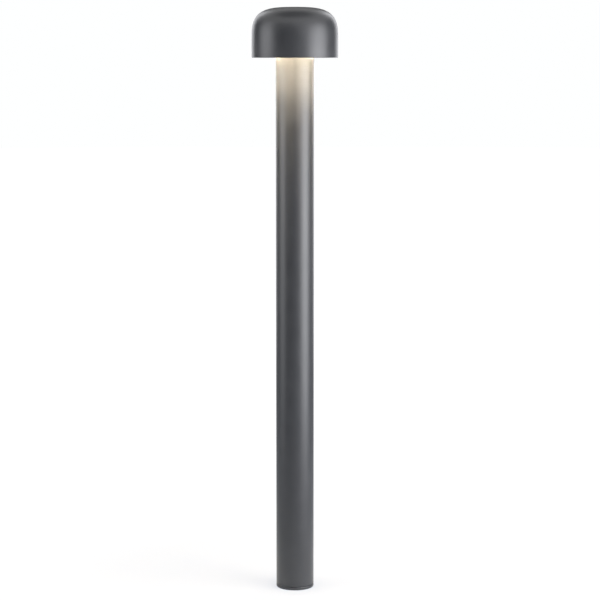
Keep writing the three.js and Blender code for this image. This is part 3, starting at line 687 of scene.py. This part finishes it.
# Cold-headed A2 screws: a brushed grain and a few darker stains.
STAINLESS = Finish("stainless", 0.28, 1)
grain = STAINLESS.noise(1, 2, STAINLESS.stretched(3000, 3000, 500))
STAINLESS.tinted(STAINLESS.noise(400, 3), (0.5, 0.49, 0.47), (0.66, 0.65, 0.63))
STAINLESS.uneven(grain, 0.22, 0.36).bumped(grain, 0.004)

# Zinc-plated sheet with a clear passivation: spangled, slightly blue and yellow.
ZINC = Finish("zinc_steel", 0.4, 1)
ZINC.tinted(ZINC.noise(28, 4), (0.53, 0.56, 0.62), (0.66, 0.64, 0.56)).uneven(ZINC.noise(500, 3), 0.32, 0.5)
ZINC.bumped(ZINC.noise(1, 2, ZINC.stretched(150, 150, 4000)), 0.006)

# Glass-filled nylon with a spark-eroded texture.
NYLON = Finish("black_nylon", 0.55)
NYLON.tinted(NYLON.noise(80), (0.012, 0.012, 0.013), (0.021, 0.021, 0.022))
NYLON.uneven(NYLON.noise(1200), 0.48, 0.66).bumped(NYLON.noise(2200, 3), 0.03)


def sheath(name, slot, first, second):
    cover = Finish(name, 0.48, slot=slot)
    return cover.tinted(cover.noise(150), first, second).bumped(cover.noise(1600), 0.012)


LEAD_SHEATH = sheath("lead_sheath", "lead_sheath", (0.022, 0.022, 0.024), (0.03, 0.03, 0.032))
EARTH_GREEN = sheath("earth_sheath_green", "earth_sheath", (0.03, 0.2, 0.05), (0.04, 0.24, 0.06))
EARTH_YELLOW = sheath("earth_sheath_yellow", "earth_sheath", (0.62, 0.5, 0.03), (0.7, 0.57, 0.05))

# ---- Head ----

def crown(radius, height, steps):
    power = 2 / DOME_POWER
    points = []
    for k in range(steps):
        t = math.pi / 2 * k / steps
        points.append((radius * math.cos(t) ** power, SKIRT_TOP + height * math.sin(t) ** power))
    return [*points, (0, SKIRT_TOP + height)]


def make_head_shell():
    taper = HEAD_BORE - LEDGE.radius
    lip = rounded([
        (HEAD_BORE, SKIRT_TOP, 0), (HEAD_BORE, LEDGE.top + taper, 1), (LEDGE.radius, LEDGE.top, 1),
        (LEDGE.radius, LEDGE.bottom, 0.4), (HEAD_BORE, LEDGE.bottom, 0.4), (HEAD_BORE, RIM, 0.35),
        (HEAD_RADIUS, RIM, 0.9), (HEAD_RADIUS, SKIRT_TOP, 0),
    ])
    outside = crown(HEAD_RADIUS, DOME_HEIGHT, 56)
    inside = crown(HEAD_BORE, DOME_HEIGHT - HEAD_WALL, 40)
    shell = turned(lip[1:-1] + outside + inside[::-1], FINE)
    middle = HEAD_WALL / 2
    skin = crown(HEAD_RADIUS - middle, DOME_HEIGHT - middle, 24)
    core = [(0, RIM), (HEAD_RADIUS - middle, RIM), *skin]
    boss_bottom = PLATE_TOP + GAP
    boss_top = boss_bottom + SHELL_BOSS.height
    join, cut = [], []
    for angle in SHELL_BOSS.angles:
        foot = around(angle, SHELL_BOSS.ring, boss_bottom)
        post = rod(SHELL_BOSS.radius, foot, UP, SHELL_BOSS.height, MID)
        half = SHELL_BOSS.rib
        height = (boss_bottom + SHELL_BOSS.radius, boss_top)
        rib = spun(block((SHELL_BOSS.ring, HEAD_RADIUS), (-half, half), height), angle)
        join += [common(post, turned(core, ROUND)), common(rib, turned(core, ROUND))]
        cut.append(flared(clear(M4), foot, UP, 14))
    for angle in BEZEL.angles:
        mouth = around(angle, BEZEL.ring, LEDGE.bottom)
        cut.append(flared(clear(M3), mouth, UP, 4.5, 0.2))
    piece("head_cap", carved(shell, join, cut), "head_shell", PAINT)


def bezel_holes(bottom, top):
    return drilled(clear(M3), BEZEL.ring, BEZEL.angles, bottom, top - bottom)


def make_bezel():
    outline = section(BEZEL.inner, BEZEL_RADIUS, BEZEL_FACE, BEZEL_BACK, (0.4, 0.4, 0.2, 0.2))
    cut = bezel_holes(BEZEL_FACE - 1, BEZEL_BACK + 1)
    wide, narrow = M3.head + GAP, clear(M3)
    depth = M3.head - M3.shank
    for angle in BEZEL.angles:
        cone = turned([(0, -1), (wide, -1), (wide, 0), (narrow, depth), (0, depth)], SMALL)
        cut.append(moved(cone, around(angle, BEZEL.ring, BEZEL_FACE)))
    piece("bezel", carved(turned(outline, FINE), cut=cut), "bezel_ring", PAINT)


def make_diffuser():
    edge = BEZEL.inner - GAP
    flange, top = BEZEL_BACK + GAP, BEZEL_BACK + GAP + FLANGE
    outer, collar = high("diffuser").x, high("diffuser").z
    outline = rounded([
        (NECK, BEZEL_FACE, 0.4), (edge, BEZEL_FACE, 0.4), (edge, flange, 0), (outer, flange, 0.3),
        (outer, top, 0.3), (BEZEL.inner - 3, top, 0), (BEZEL.inner - 3, flange, 0.4),
        (COLLAR.outer, flange, 0.6), (COLLAR.outer, collar, 0.3), (COLLAR.inner, collar, 0.3),
        (COLLAR.inner, top, 0.3), (NECK, top, 0.3),
    ], 4)
    made = carved(turned(outline, ROUND), cut=bezel_holes(flange - 1, top + 1))
    piece("opal_ring", made, "diffuser", OPAL)


def make_gasket():
    bottom, top = heights("diffuser_gasket")
    inner, outer = LEDGE.radius + 0.5, high("diffuser_gasket").x
    outline = section(inner, outer, bottom, top, [0.2] * 4, 3)
    made = carved(turned(outline, ROUND), cut=bezel_holes(bottom - 1, top + 1))
    piece("gasket", made, "diffuser_gasket", SILICONE)


def make_o_ring(name, node):
    """A round section between the node's two radii, with the flash line of its mould."""
    bottom, top = heights(node)
    radius = (top - bottom) / 2
    middle = high(node).x - radius
    outline = []
    for k in range(24):
        a = 2 * math.pi * k / 24
        reach = radius * (1 if k % 12 == 0 else 0.985)
        outline.append((middle + reach * math.cos(a), (bottom + top) / 2 + reach * math.sin(a)))
    piece(name, turned(outline, ROUND), node, SILICONE)


def led_angle(k):
    return 360 / LED.count * (k + 0.5)


def make_reflector():
    inner, outer, bottom, top = WEB.inner, WEB.outer, WEB.bottom, WEB.top
    wall, rim = TROUGH_WALL, high("reflector").x - TROUGH_WALL
    collar, flange = high("diffuser").z + LEAD_GAP, low("reflector").z
    outline = rounded([
        (inner, collar, 0.3), (inner + wall, collar, 0.3), (inner + wall, bottom, 1), (outer, bottom, 1),
        (rim, flange, 0.2), (rim + wall, flange, 0.2), (outer + wall, top, 0.8), (inner, top, 0.4),
    ])
    cut = []
    for k in range(LED.count):
        lens = turned([(0, -1), (3.8, -1), (3.8, 0), (3, 0.6), (3, 3), (0, 3)], SMALL)
        cut.append(moved(lens, around(led_angle(k), BOARD.ring, bottom)))
    peg_foot = bottom + 0.5
    pegs = drilled(1.3, BOARD_RADIUS - 1.8, BOARD.screws, peg_foot, high("reflector").z - peg_foot)
    piece("trough", carved(turned(outline, ROUND), pegs, cut), "reflector", WHITE)


def make_board():
    outline = section(BOARD.inner, BOARD_RADIUS, BOARD_BOTTOM, BOARD_TOP, [0.15] * 4, 2)
    cut = drilled(clear(M3), BOARD.ring, BOARD.screws, BOARD_BOTTOM - 1, 4)
    piece("board", carved(turned(outline, ROUND), cut=cut), "led_board", MASK)


def make_leds():
    """A ceramic body with a domed dot of phosphor, face down."""
    half, height = LED.side / 2, LED.height
    for k in range(LED.count):
        made = block((-half, half), (-half, half), (-0.6, 0), 0.12)
        body_faces = len(made.faces)
        bulge = [(0, -0.5), (1.35, -0.5), (1.3, -0.72), (0.95, -0.84), (0.5, -height), (0, -height)]
        dome = turned(bulge, SMALL)
        mesh = bpy.data.meshes.new("dome")
        dome.to_mesh(mesh)
        dome.free()
        made.from_mesh(mesh)
        bpy.data.meshes.remove(mesh)
        made.faces.ensure_lookup_table()
        for face in made.faces[body_faces:]:
            face.material_index = 1
        spun(made, led_angle(k))
        made.transform(Matrix.Translation(around(led_angle(k), BOARD.ring, BOARD_BOTTOM - GAP)))
        piece(f"led_package_{k + 1}", made, f"led_{k + 1}", CERAMIC, PHOSPHOR)


def make_spreader():
    outline = section(PLATE_HOLE, PLATE_RADIUS, PLATE_BOTTOM, PLATE_TOP, (0.3, 0.4, 0.4, 0.3), 3)
    cut = []
    for angles, ring, size in (
        (SPREADER_SCREW.angles, SPREADER_SCREW.ring, M4),
        (SHELL_BOSS.angles, SHELL_BOSS.ring, M4),
        (BOARD.screws, BOARD.ring, M3),
    ):
        cut += [flared(clear(size), around(a, ring, PLATE_BOTTOM), UP, 6, 0.2) for a in angles]
    half = PLUG.width / 2 + 0.5
    window = block((PLUG.near - 0.5, PLUG.far + 0.5), (-half, half), (PLATE_BOTTOM - 1, PLATE_TOP + 1))
    cut.append(spun(window, PLUG.angle))
    piece("spreader_plate", carved(turned(outline, FINE), cut=cut), "heat_spreader", TURNED)


def make_plug():
    """Two-way connector: a softened body with a latch rib and the lead's entry."""
    half = PLUG.width / 2
    bottom, top = heights("board_connector")
    body = block((PLUG.near, PLUG.far), (-half, half), (bottom, top), 0.5)
    entry = flared(LEAD + LEAD_GAP, (PLUG.near, 0, PLUG.entry), (1, 0, 0), 2.5, 0.3)
    slot = (PLUG.near + 4, PLUG.far - 1.5)
    slots = [block(slot, (y - 0.6, y + 0.6), (top - 0.8, top + 1)) for y in (-2, 2)]
    piece("lead_plug", spun(carved(body, cut=[entry, *slots]), PLUG.angle), "board_connector", WHITE)


def make_grommet():
    bore, body, flange, lip = LEAD + LEAD_GAP, PLATE_HOLE - 0.4, PLATE_HOLE + 2, 1.4
    bottom, top = PLATE_BOTTOM - GAP, PLATE_TOP + GAP
    outline = rounded([
        (bore, bottom - lip, 0.4), (flange, bottom - lip, 0.6), (flange, bottom, 0.3),
        (body, bottom, 0.3), (body, top, 0.3), (flange, top, 0.3), (flange, top + lip, 0.6),
        (bore, top + lip, 0.4),
    ], 3)
    piece("grommet", turned(outline, MID), "lead_grommet", SILICONE)


# ---- Screws ----


def thread(size, start, end, segments):
    """Rings of a real helix between two heights, rising towards end, that runs out smoothly at both."""
    pitch, crest = size.pitch, size.shank
    depth = 0.55 * pitch
    steps = max(4, round(4 * (end - start) / pitch))
    rings = []
    for i in range(steps + 1):
        z = start + (end - start) * i / steps
        fade = min(1, 3 * i / steps, 3 * (steps - i) / steps)
        ring = []
        for k in range(segments):
            phase = (z / pitch - k / segments) % 1
            r = crest - depth * fade * abs(2 * phase - 1)
            a = 2 * math.pi * k / segments
            ring.append((r * math.cos(a), r * math.sin(a), z))
        rings.append(ring)
    return rings


def screw(size, length, style):
    """A screw along Z whose head stands on z = 0, or is sunk below it when countersunk."""
    n = SMALL
    shank, head, height, key = size.shank, size.head, size.height, size.socket
    tip = [[(0, 0, -length)], circle(shank - 0.5, -length, n)]
    if style == "countersunk":
        cone = head - shank
        top, depth = 0, cone
        seat = [circle(shank, -cone, n), circle(head - 0.08, -0.08, n), circle(head - 0.16, 0, n)]
        shank_end = -cone
    else:
        top, depth = height, 0.55 * height
        shank_end = 0
        seat = [circle(shank, 0, n), circle(head - 0.15, 0, n), circle(head, 0.15, n)]
        if style == "button":
            for t in (0.35, 0.6, 0.8, 0.93, 1):
                seat.append(circle(head * (1 - 0.42 * ((t - 0.35) / 0.65) ** 2), height * t, n))
        else:
            seat += [circle(head, height - 0.35, n), circle(head - 0.12, height - 0.1, n)]
            seat.append(circle(head - 0.35, height, n))
    socket = [
        circle(key + 0.25, top, n),
        circle(key, top - 0.2, n, hexed=True),
        circle(key, top - depth, n, hexed=True),
        [(0, 0, top - depth - 0.15)],
    ]
    return lofted(tip + thread(size, 0.4 - length, shank_end - 0.2, n) + seat + socket, closed=False)


def make_screws(nodes, size, length, seats, direction, style="cap"):
    """direction is a way, or None for screws that point away from the axis."""
    for i, seat in enumerate(seats):
        node = nodes if len(seats) == 1 else f"{nodes}_{i + 1}"
        way = direction or Vector((seat.x, seat.y, 0))
        made = moved(screw(size, length, style), seat, way, 17 * i)
        piece(f"fitted_{node}", made, node, STAINLESS)


def on_ring(ring, angles, z):
    return [around(angle, ring, z) for angle in angles]


def make_all_screws():
    bezel_seats = on_ring(BEZEL.ring, BEZEL.angles, BEZEL_FACE)
    make_screws("bezel_screw", M3, 10, bezel_seats, DOWN, "countersunk")
    board_seats = on_ring(BOARD.ring, BOARD.screws, BOARD_BOTTOM - GAP)
    make_screws("board_screw", M3, 5.4, board_seats, DOWN)
    shell_seats = on_ring(SHELL_BOSS.ring, SHELL_BOSS.angles, PLATE_BOTTOM - GAP)
    make_screws("shell_screw", M4, 16, shell_seats, DOWN)
    spreader_seats = on_ring(SPREADER_SCREW.ring, SPREADER_SCREW.angles, PLATE_TOP + GAP)
    make_screws("spreader_screw", M4, 12, spreader_seats, UP)
    hub_seats = on_ring(POLE_RADIUS + 0.2, HUB_SCREW.angles, HUB_SCREW.height)
    make_screws("hub_screw", M4_LOW, 7.5, hub_seats, None)
    lock_seats = on_ring(POLE_RADIUS + 0.2, LOCK.angles, LOCK.height)
    make_screws("pole_lock_screw", M5_BUTTON, 8, lock_seats, None, "button")
    tray_seats = [Vector((0, TRAY_FRONT - GAP, z)) for z in TRAY.screws]
    make_screws("tray_screw", M4, 7.5, tray_seats, FORWARD)
    depth = TRAY_FRONT - 2 * GAP - EAR.thickness
    driver_seats = [Vector((0, depth, z)) for z in EAR_HEIGHTS]
    make_screws("driver_screw", M4, 6, driver_seats, FORWARD)
    clip_seat = Vector((CLIP.screw_x, TRAY_FRONT - 2 * GAP - CLIP.tab, CLIP.height))
    make_screws("clip_screw", M4, 4.5, [clip_seat], FORWARD)
    earth_seat = Vector((EARTH_POINT.x, TRAY_FRONT - 2 * GAP - 1, EARTH_POINT.z))
    make_screws("earth_screw", M4, 4, [earth_seat], FORWARD)


# ---- Pole, hub and foot ----


def make_pole():
    outline = section(POLE_BORE, POLE_RADIUS, POLE_BOTTOM, POLE_TOP, (0.3, 1, 0.3, 0.3))
    cut = pierced(clear(M4_LOW), POLE_BORE - 2, HUB_SCREW.angles, HUB_SCREW.height, 7)
    cut += pierced(clear(M5_BUTTON), POLE_BORE - 2, LOCK.angles, LOCK.height, 7)
    piece("tube", carved(turned(outline, FINE), cut=cut), "pole_tube", PAINT)


def make_hub():
    groove_low, groove_high = HUB.groove
    bottom = low("pole_hub").z
    outline = rounded([
        (SPIGOT_BORE, bottom, 0.4), (SPIGOT_RADIUS, bottom, 0.5), (SPIGOT_RADIUS, groove_low, 0.1),
        (HUB.groove_radius, groove_low, 0.2), (HUB.groove_radius, groove_high, 0.2),
        (SPIGOT_RADIUS, groove_high, 0.1), (SPIGOT_RADIUS, POLE_TOP + GAP, 0.2),
        (POLE_RADIUS, POLE_TOP + GAP, 0.3), (POLE_RADIUS, HUB_TOP, 0.5), (HUB.bore, HUB_TOP, 0.4),
        (HUB.bore, HUB.core, 0.3), (SPIGOT_BORE, HUB.core, 0.8),
    ], 3)
    cut = drilled(clear(M4), SPREADER_SCREW.ring, SPREADER_SCREW.angles, HUB_TOP - 9, 10)
    cut += pierced(clear(M4), 18, HUB_SCREW.angles, HUB_SCREW.height, 8)
    piece("hub", carved(turned(outline, ROUND), cut=cut), "pole_hub", CAST)


def make_foot():
    pad_front = TRAY_BACK + GAP
    outline = rounded([
        (FOOT.cable, 0, 0.3), (POLE_RADIUS, 0, 1.5), (POLE_RADIUS, FOOT.top, 0.7),
        (SPIGOT_RADIUS, FOOT.top, 0.2), (SPIGOT_RADIUS, SPIGOT_TOP, 1), (SPIGOT_BORE, SPIGOT_TOP, 0.5),
        (SPIGOT_BORE, FOOT.floor, 1.2), (FOOT.cable, FOOT.floor, 0.8),
    ])
    pad = block((-12, 12), (pad_front, SPIGOT_RADIUS), (FOOT.floor - 1, SPIGOT_TOP))
    pad = common(pad, rod(SPIGOT_BORE + 1, (0, 0, 0), UP, SPIGOT_TOP - 0.5, ROUND))
    cut = [rod(clear(M4), (0, SPIGOT_BORE + 1, z), FORWARD, 8) for z in TRAY.screws]
    for a in ANCHORS.angles:
        cut.append(flared(ANCHORS.hole, around(a, ANCHORS.ring, 0), UP, FOOT.floor + 2, 0.4, MID))
    cut += pierced(clear(M5_BUTTON), SPIGOT_BORE - 3, LOCK.angles, LOCK.height, 10)
    piece("foot", carved(turned(outline, FINE), [pad], cut), "base_casting", PAINT)


# ---- Gear tray, driver and supply connector ----


def make_tray():
    half, tongue, shoulder = TRAY.half, TRAY.tongue, TRAY.shoulder
    bottom, top = heights("gear_tray")
    outline = [
        *arc((tongue - 1.5, bottom + 1.5), 1.5, -90, 0, 4),
        (tongue, shoulder),
        *arc((half - 1, shoulder + 1), 1, -90, 0, 3),
        *arc((half - 4, top - 4), 4, 0, 90),
        *arc((4 - half, top - 4), 4, 90, 180),
        *arc((1 - half, shoulder + 1), 1, 180, 270, 3),
        (-tongue, shoulder),
        *arc((1.5 - tongue, bottom + 1.5), 1.5, 180, 270, 4),
    ]
    places = [(0, z) for z in (*TRAY.screws, *EAR_HEIGHTS)]
    places += [(CLIP.screw_x, CLIP.height), (EARTH_POINT.x, EARTH_POINT.z)]
    cut = [flared(clear(M4), (x, TRAY_FRONT, z), BACK, 4, 0.15) for x, z in places]
    piece("tray", carved(plate(outline, (TRAY_FRONT, TRAY_BACK), 0.2), cut=cut), "gear_tray", ZINC)


def rounded_box(half_x, half_y, corner, z):
    """Corners of a rounded rectangle, as a ring of points at the height z."""
    points = []
    for sx, sy, start in ((1, 1, 0), (-1, 1, 90), (-1, -1, 180), (1, -1, 270)):
        centre = (sx * (half_x - corner), sy * (half_y - corner))
        points += arc(centre, corner, start, start + 90)
    return [(x, y, z) for x, y in points]


def soft_prism(half_x, half_y, corner, bottom, top, edge):
    rings = [[(0, 0, bottom)]]
    slight = 0.3 * edge
    below = ((bottom, edge), (bottom + slight, slight), (bottom + edge, 0))
    above = ((top - edge, 0), (top - slight, slight), (top, edge))
    for z, inset in below + above:
        rings.append(rounded_box(half_x - inset, half_y - inset, corner - inset, z))
    return lofted([*rings, [(0, 0, top)]], closed=False)


def make_driver():
    half, depth, corner = DRIVER.half, DRIVER.depth / 2, DRIVER.corner
    body = soft_prism(half, depth, corner, DRIVER_BOTTOM, DRIVER_TOP, 0.3)
    body.transform(Matrix.Translation((0, DRIVER_AXIS, 0)))
    front = DRIVER_AXIS - depth
    height = (DRIVER_BOTTOM - 1, DRIVER_TOP + 1)
    grooves = [block((x - 0.9, x + 0.9), (front - 1, front + 1.2), height) for x in DRIVER.fins]
    piece("driver_body", carved(body, cut=grooves), "driver_case", EXTRUDED)
    make_driver_cap("driver_cap_lower", DRIVER_BOTTOM - GAP - DRIVER.cap, False)
    make_driver_cap("driver_cap_upper", DRIVER_TOP + GAP + DRIVER.cap, True)


def make_driver_cap(node, z, upside_down):
    """End cap with a screw ear against the tray and a nose for the lead."""
    half = DRIVER.depth / 2
    body = soft_prism(DRIVER.half, half, DRIVER.corner, 0, DRIVER.cap, 0.5)
    ear = block((-EAR.half, EAR.half), (half - EAR.thickness, half), (-EAR.length, 1), 0.4)
    length = NOSE.length
    cone = [(0, -length, 0), (NOSE.tip, -length, 0.6), (NOSE.root, 1, 0), BACK]
    nose = turned(rounded(cone), SMALL)
    hole = rod(clear(M4), (0, half - 2 * EAR.thickness, -EAR.length / 2), BACK, 8)
    bore = flared(LEAD + LEAD_GAP, (0, 0, -length), UP, NOSE.bore, 0.2)
    made = carved(body, [ear, nose], [hole, bore])
    if upside_down:
        made.transform(Matrix.Rotation(math.pi, 4, "Y"))
    made.transform(Matrix.Translation((0, DRIVER_AXIS, z)))
    piece(f"end_{node}", made, node, NYLON)


def make_junction():
    """Watertight connector: a waisted body with grip ribs, a hexagonal gland nut and a domed cap."""
    radius, collar = JUNCTION.radius, JUNCTION.collar
    bottom, top = JUNCTION_BOTTOM, JUNCTION_TOP
    waist = radius - 0.8
    outline = rounded([
        (0, bottom, 0), (radius, bottom, 1), (radius, bottom + collar, 0.6),
        (waist, bottom + collar + 1, 0.6), (waist, top - collar - 1, 0.6), (radius, top - collar, 0.6),
        (radius, top, 1), (0, top, 0),
    ])
    grips = []
    for k in range(18):
        angle = 20 * k
        for low_edge, high_edge in ((bottom + 2, bottom + collar - 1.5), (top - collar + 1.5, top - 2)):
            start = around(angle, radius + 0.35, low_edge)
            grips.append(rod(0.8, start, UP, high_edge - low_edge, 10))
    piece("junction_shell", carved(turned(outline, MID), cut=grips), "junction_body", NYLON)

    gland_bottom, gland_top = heights("junction_gland")
    nut = JUNCTION.nut
    outline = [
        (INLET, gland_bottom + 0.6),
        (INLET + 0.6, gland_bottom),
        (6.4, gland_bottom),
        (7, gland_bottom + 0.5),
        (nut - 0.4, gland_bottom + 4, "hex"),
        (nut, gland_bottom + 4.6, "hex"),
        (nut, gland_top - 0.5, "hex"),
        (nut - 0.4, gland_top, "hex"),
        (INLET, gland_top),
    ]
    piece("gland_nut", turned(outline, 72, turn=30), "junction_gland", NYLON)

    bottom, top = heights("junction_cap")
    outline = rounded([(0, bottom, 0), (nut, bottom, 0.4), (nut, top - 3, 1), (nut - 3, top, 1), (0, top, 0)])
    exits = ((JUNCTION.lead, LEAD), (JUNCTION.earth, EARTH))
    outlets = [flared(r + LEAD_GAP, (x, 0, top), DOWN, 4, 0.2) for x, r in exits]
    piece("outlet_cap", carved(turned(outline, MID), cut=outlets), "junction_cap", NYLON)


def make_clip():
    inner, wall = CLIP.ring, CLIP.wall
    bottom, top = CLIP.height - CLIP.half, CLIP.height + CLIP.half
    band = turned(section(inner, inner + wall, bottom, top, [0.25] * 4, 2), ROUND)
    back = TRAY_FRONT - GAP
    tab = block((0, CLIP.ear), (back - CLIP.tab, back), (bottom, top), 0.2)
    bore = rod(inner, (0, 0, bottom - 1), UP, top - bottom + 2, ROUND)
    hole = rod(clear(M4), (CLIP.screw_x, back - 6, CLIP.height), BACK, 8)
    piece("saddle", carved(band, [tab], [bore, hole]), "junction_clip", ZINC)


def make_earth_lug():
    x, z = EARTH_POINT.x, EARTH_POINT.z
    front = TRAY_FRONT - GAP - 1
    back = front + 1
    barrel, length, drop = LUG.barrel, LUG.length, LUG.drop
    mouth = (x, back - barrel, z - drop - length)
    eye = rod(LUG.eye, (x, front, z), BACK, back - front, MID)
    neck = block((x - 1.5, x + 1.5), (front, back), (z - drop - 1, z), 0.15)
    tube = rounded([(0, 0, 0), (barrel, 0, 0.3), (barrel, length, 0.5), (0, length, 0)])
    crimp = moved(turned(tube, SMALL), mouth)
    dents = [rod(1.1, (x - 3, back - 2 * barrel - 0.5, z - drop - y), (1, 0, 0), 6) for y in (3, 6.2)]
    hole = rod(clear(M4), (x, front - 1, z), BACK, 3)
    bore = flared(EARTH + LEAD_GAP, mouth, UP, 4, 0.15)
    piece("ring_terminal", carved(eye, [neck, crimp], [*dents, hole, bore]), "earth_lug", ZINC)


# ---- Leads ----


def smooth_line(points):
    """Centripetal Catmull-Rom line through the points, with an end point mirrored beyond each end."""
    points = [Vector(p) for p in points]
    points = [2 * points[0] - points[1], *points, 2 * points[-1] - points[-2]]
    line = []
    for i in range(len(points) - 3):
        p = points[i : i + 4]
        t = [0.0]
        for a, b in zip(p, p[1:]):
            t.append(t[-1] + (b - a).length ** 0.5)
        for k in range(LINE_STEPS):
            u = t[1] + (t[2] - t[1]) * k / LINE_STEPS
            a = [p[j].lerp(p[j + 1], (u - t[j]) / (t[j + 1] - t[j])) for j in range(3)]
            b = [a[j].lerp(a[j + 1], (u - t[j]) / (t[j + 2] - t[j])) for j in range(2)]
            line.append(b[0].lerp(b[1], (u - t[1]) / (t[2] - t[1])))
    return [*line, points[-2]]


def swept(points, radius, segments):
    """A round section along a smooth line, closed at both ends."""
    line = smooth_line(points)
    side = Vector((1, 0, 0))
    rings = [[line[0]]]
    for i, place in enumerate(line):
        way = (line[min(i + 1, len(line) - 1)] - line[max(i - 1, 0)]).normalized()
        side = (side - way * side.dot(way)).normalized()
        over = way.cross(side)
        ring = []
        for k in range(segments):
            a = 2 * math.pi * k / segments
            ring.append(place + radius * (math.cos(a) * side + math.sin(a) * over))
        rings.append(ring)
    return lofted([*rings, [line[-1]]], closed=False)


def make_leads():
    start = low("driver_lead").z
    nose = DRIVER_BOTTOM - GAP - DRIVER.cap - NOSE.length
    lead = JUNCTION.lead
    route = [
        (lead, 0, start),
        (lead, 0, start + 8),
        (lead - 2, -1, start + 18),
        (-2, 1.5, nose - 14),
        (0, DRIVER_AXIS, nose - 5),
        (0, DRIVER_AXIS, nose + 6.5),
    ]
    piece("driver_cable", swept(route, LEAD, SMALL), "driver_lead", LEAD_SHEATH)

    earth = JUNCTION.earth
    barrel = EARTH_POINT.z - LUG.drop - LUG.length
    depth = TRAY_FRONT - GAP - LUG.barrel
    route = [
        (earth, 0, start),
        (earth, 0, start + 5),
        (earth + 2, 3, start + 11),
        (EARTH_POINT.x, depth, barrel - 2),
        (EARTH_POINT.x, depth, barrel + 3.5),
    ]
    obj = piece("earth_cable", swept(route, EARTH, TINY), "earth_wire", EARTH_GREEN, EARTH_YELLOW)
    for face in obj.data.polygons:
        row, k = divmod(face.index, TINY)
        if (k + row // 2) % TINY < 5:
            face.material_index = 1

    start = DRIVER_TOP + GAP + DRIVER.cap + 2.5
    rise = [
        (0, DRIVER_AXIS, start),
        (0, DRIVER_AXIS, start + 14),
        (3, 0, start + 60),
        (-4, -3, start + 140),
        (4, 2, start + 230),
        (-3, 3, start + 320),
        (0, 0, RIM - 16),
        (0, 0, RIM + 20),
        (0, 0, RIM + 38),
    ]
    over = [(2.5, 50), (9, 56), (16.5, 53), (21.5, 44), (26, 37), (30.5, PLUG.entry - RIM)]
    over.append((PLUG.near + 2, PLUG.entry - RIM))
    route = rise + [around(PLUG.angle, reach, RIM + height) for reach, height in over]
    piece("led_cable", swept(route, LEAD, SMALL), "led_lead", LEAD_SHEATH)


make_camera()
make_studio()
make_head_shell()
make_bezel()
make_diffuser()
make_gasket()
make_o_ring("neck_ring", "neck_seal")
make_reflector()
make_board()
make_leds()
make_spreader()
make_plug()
make_grommet()
make_all_screws()
make_pole()
make_hub()
make_o_ring("hub_ring", "hub_seal")
make_foot()
make_tray()
make_driver()
make_junction()
make_clip()
make_earth_lug()
make_leads()
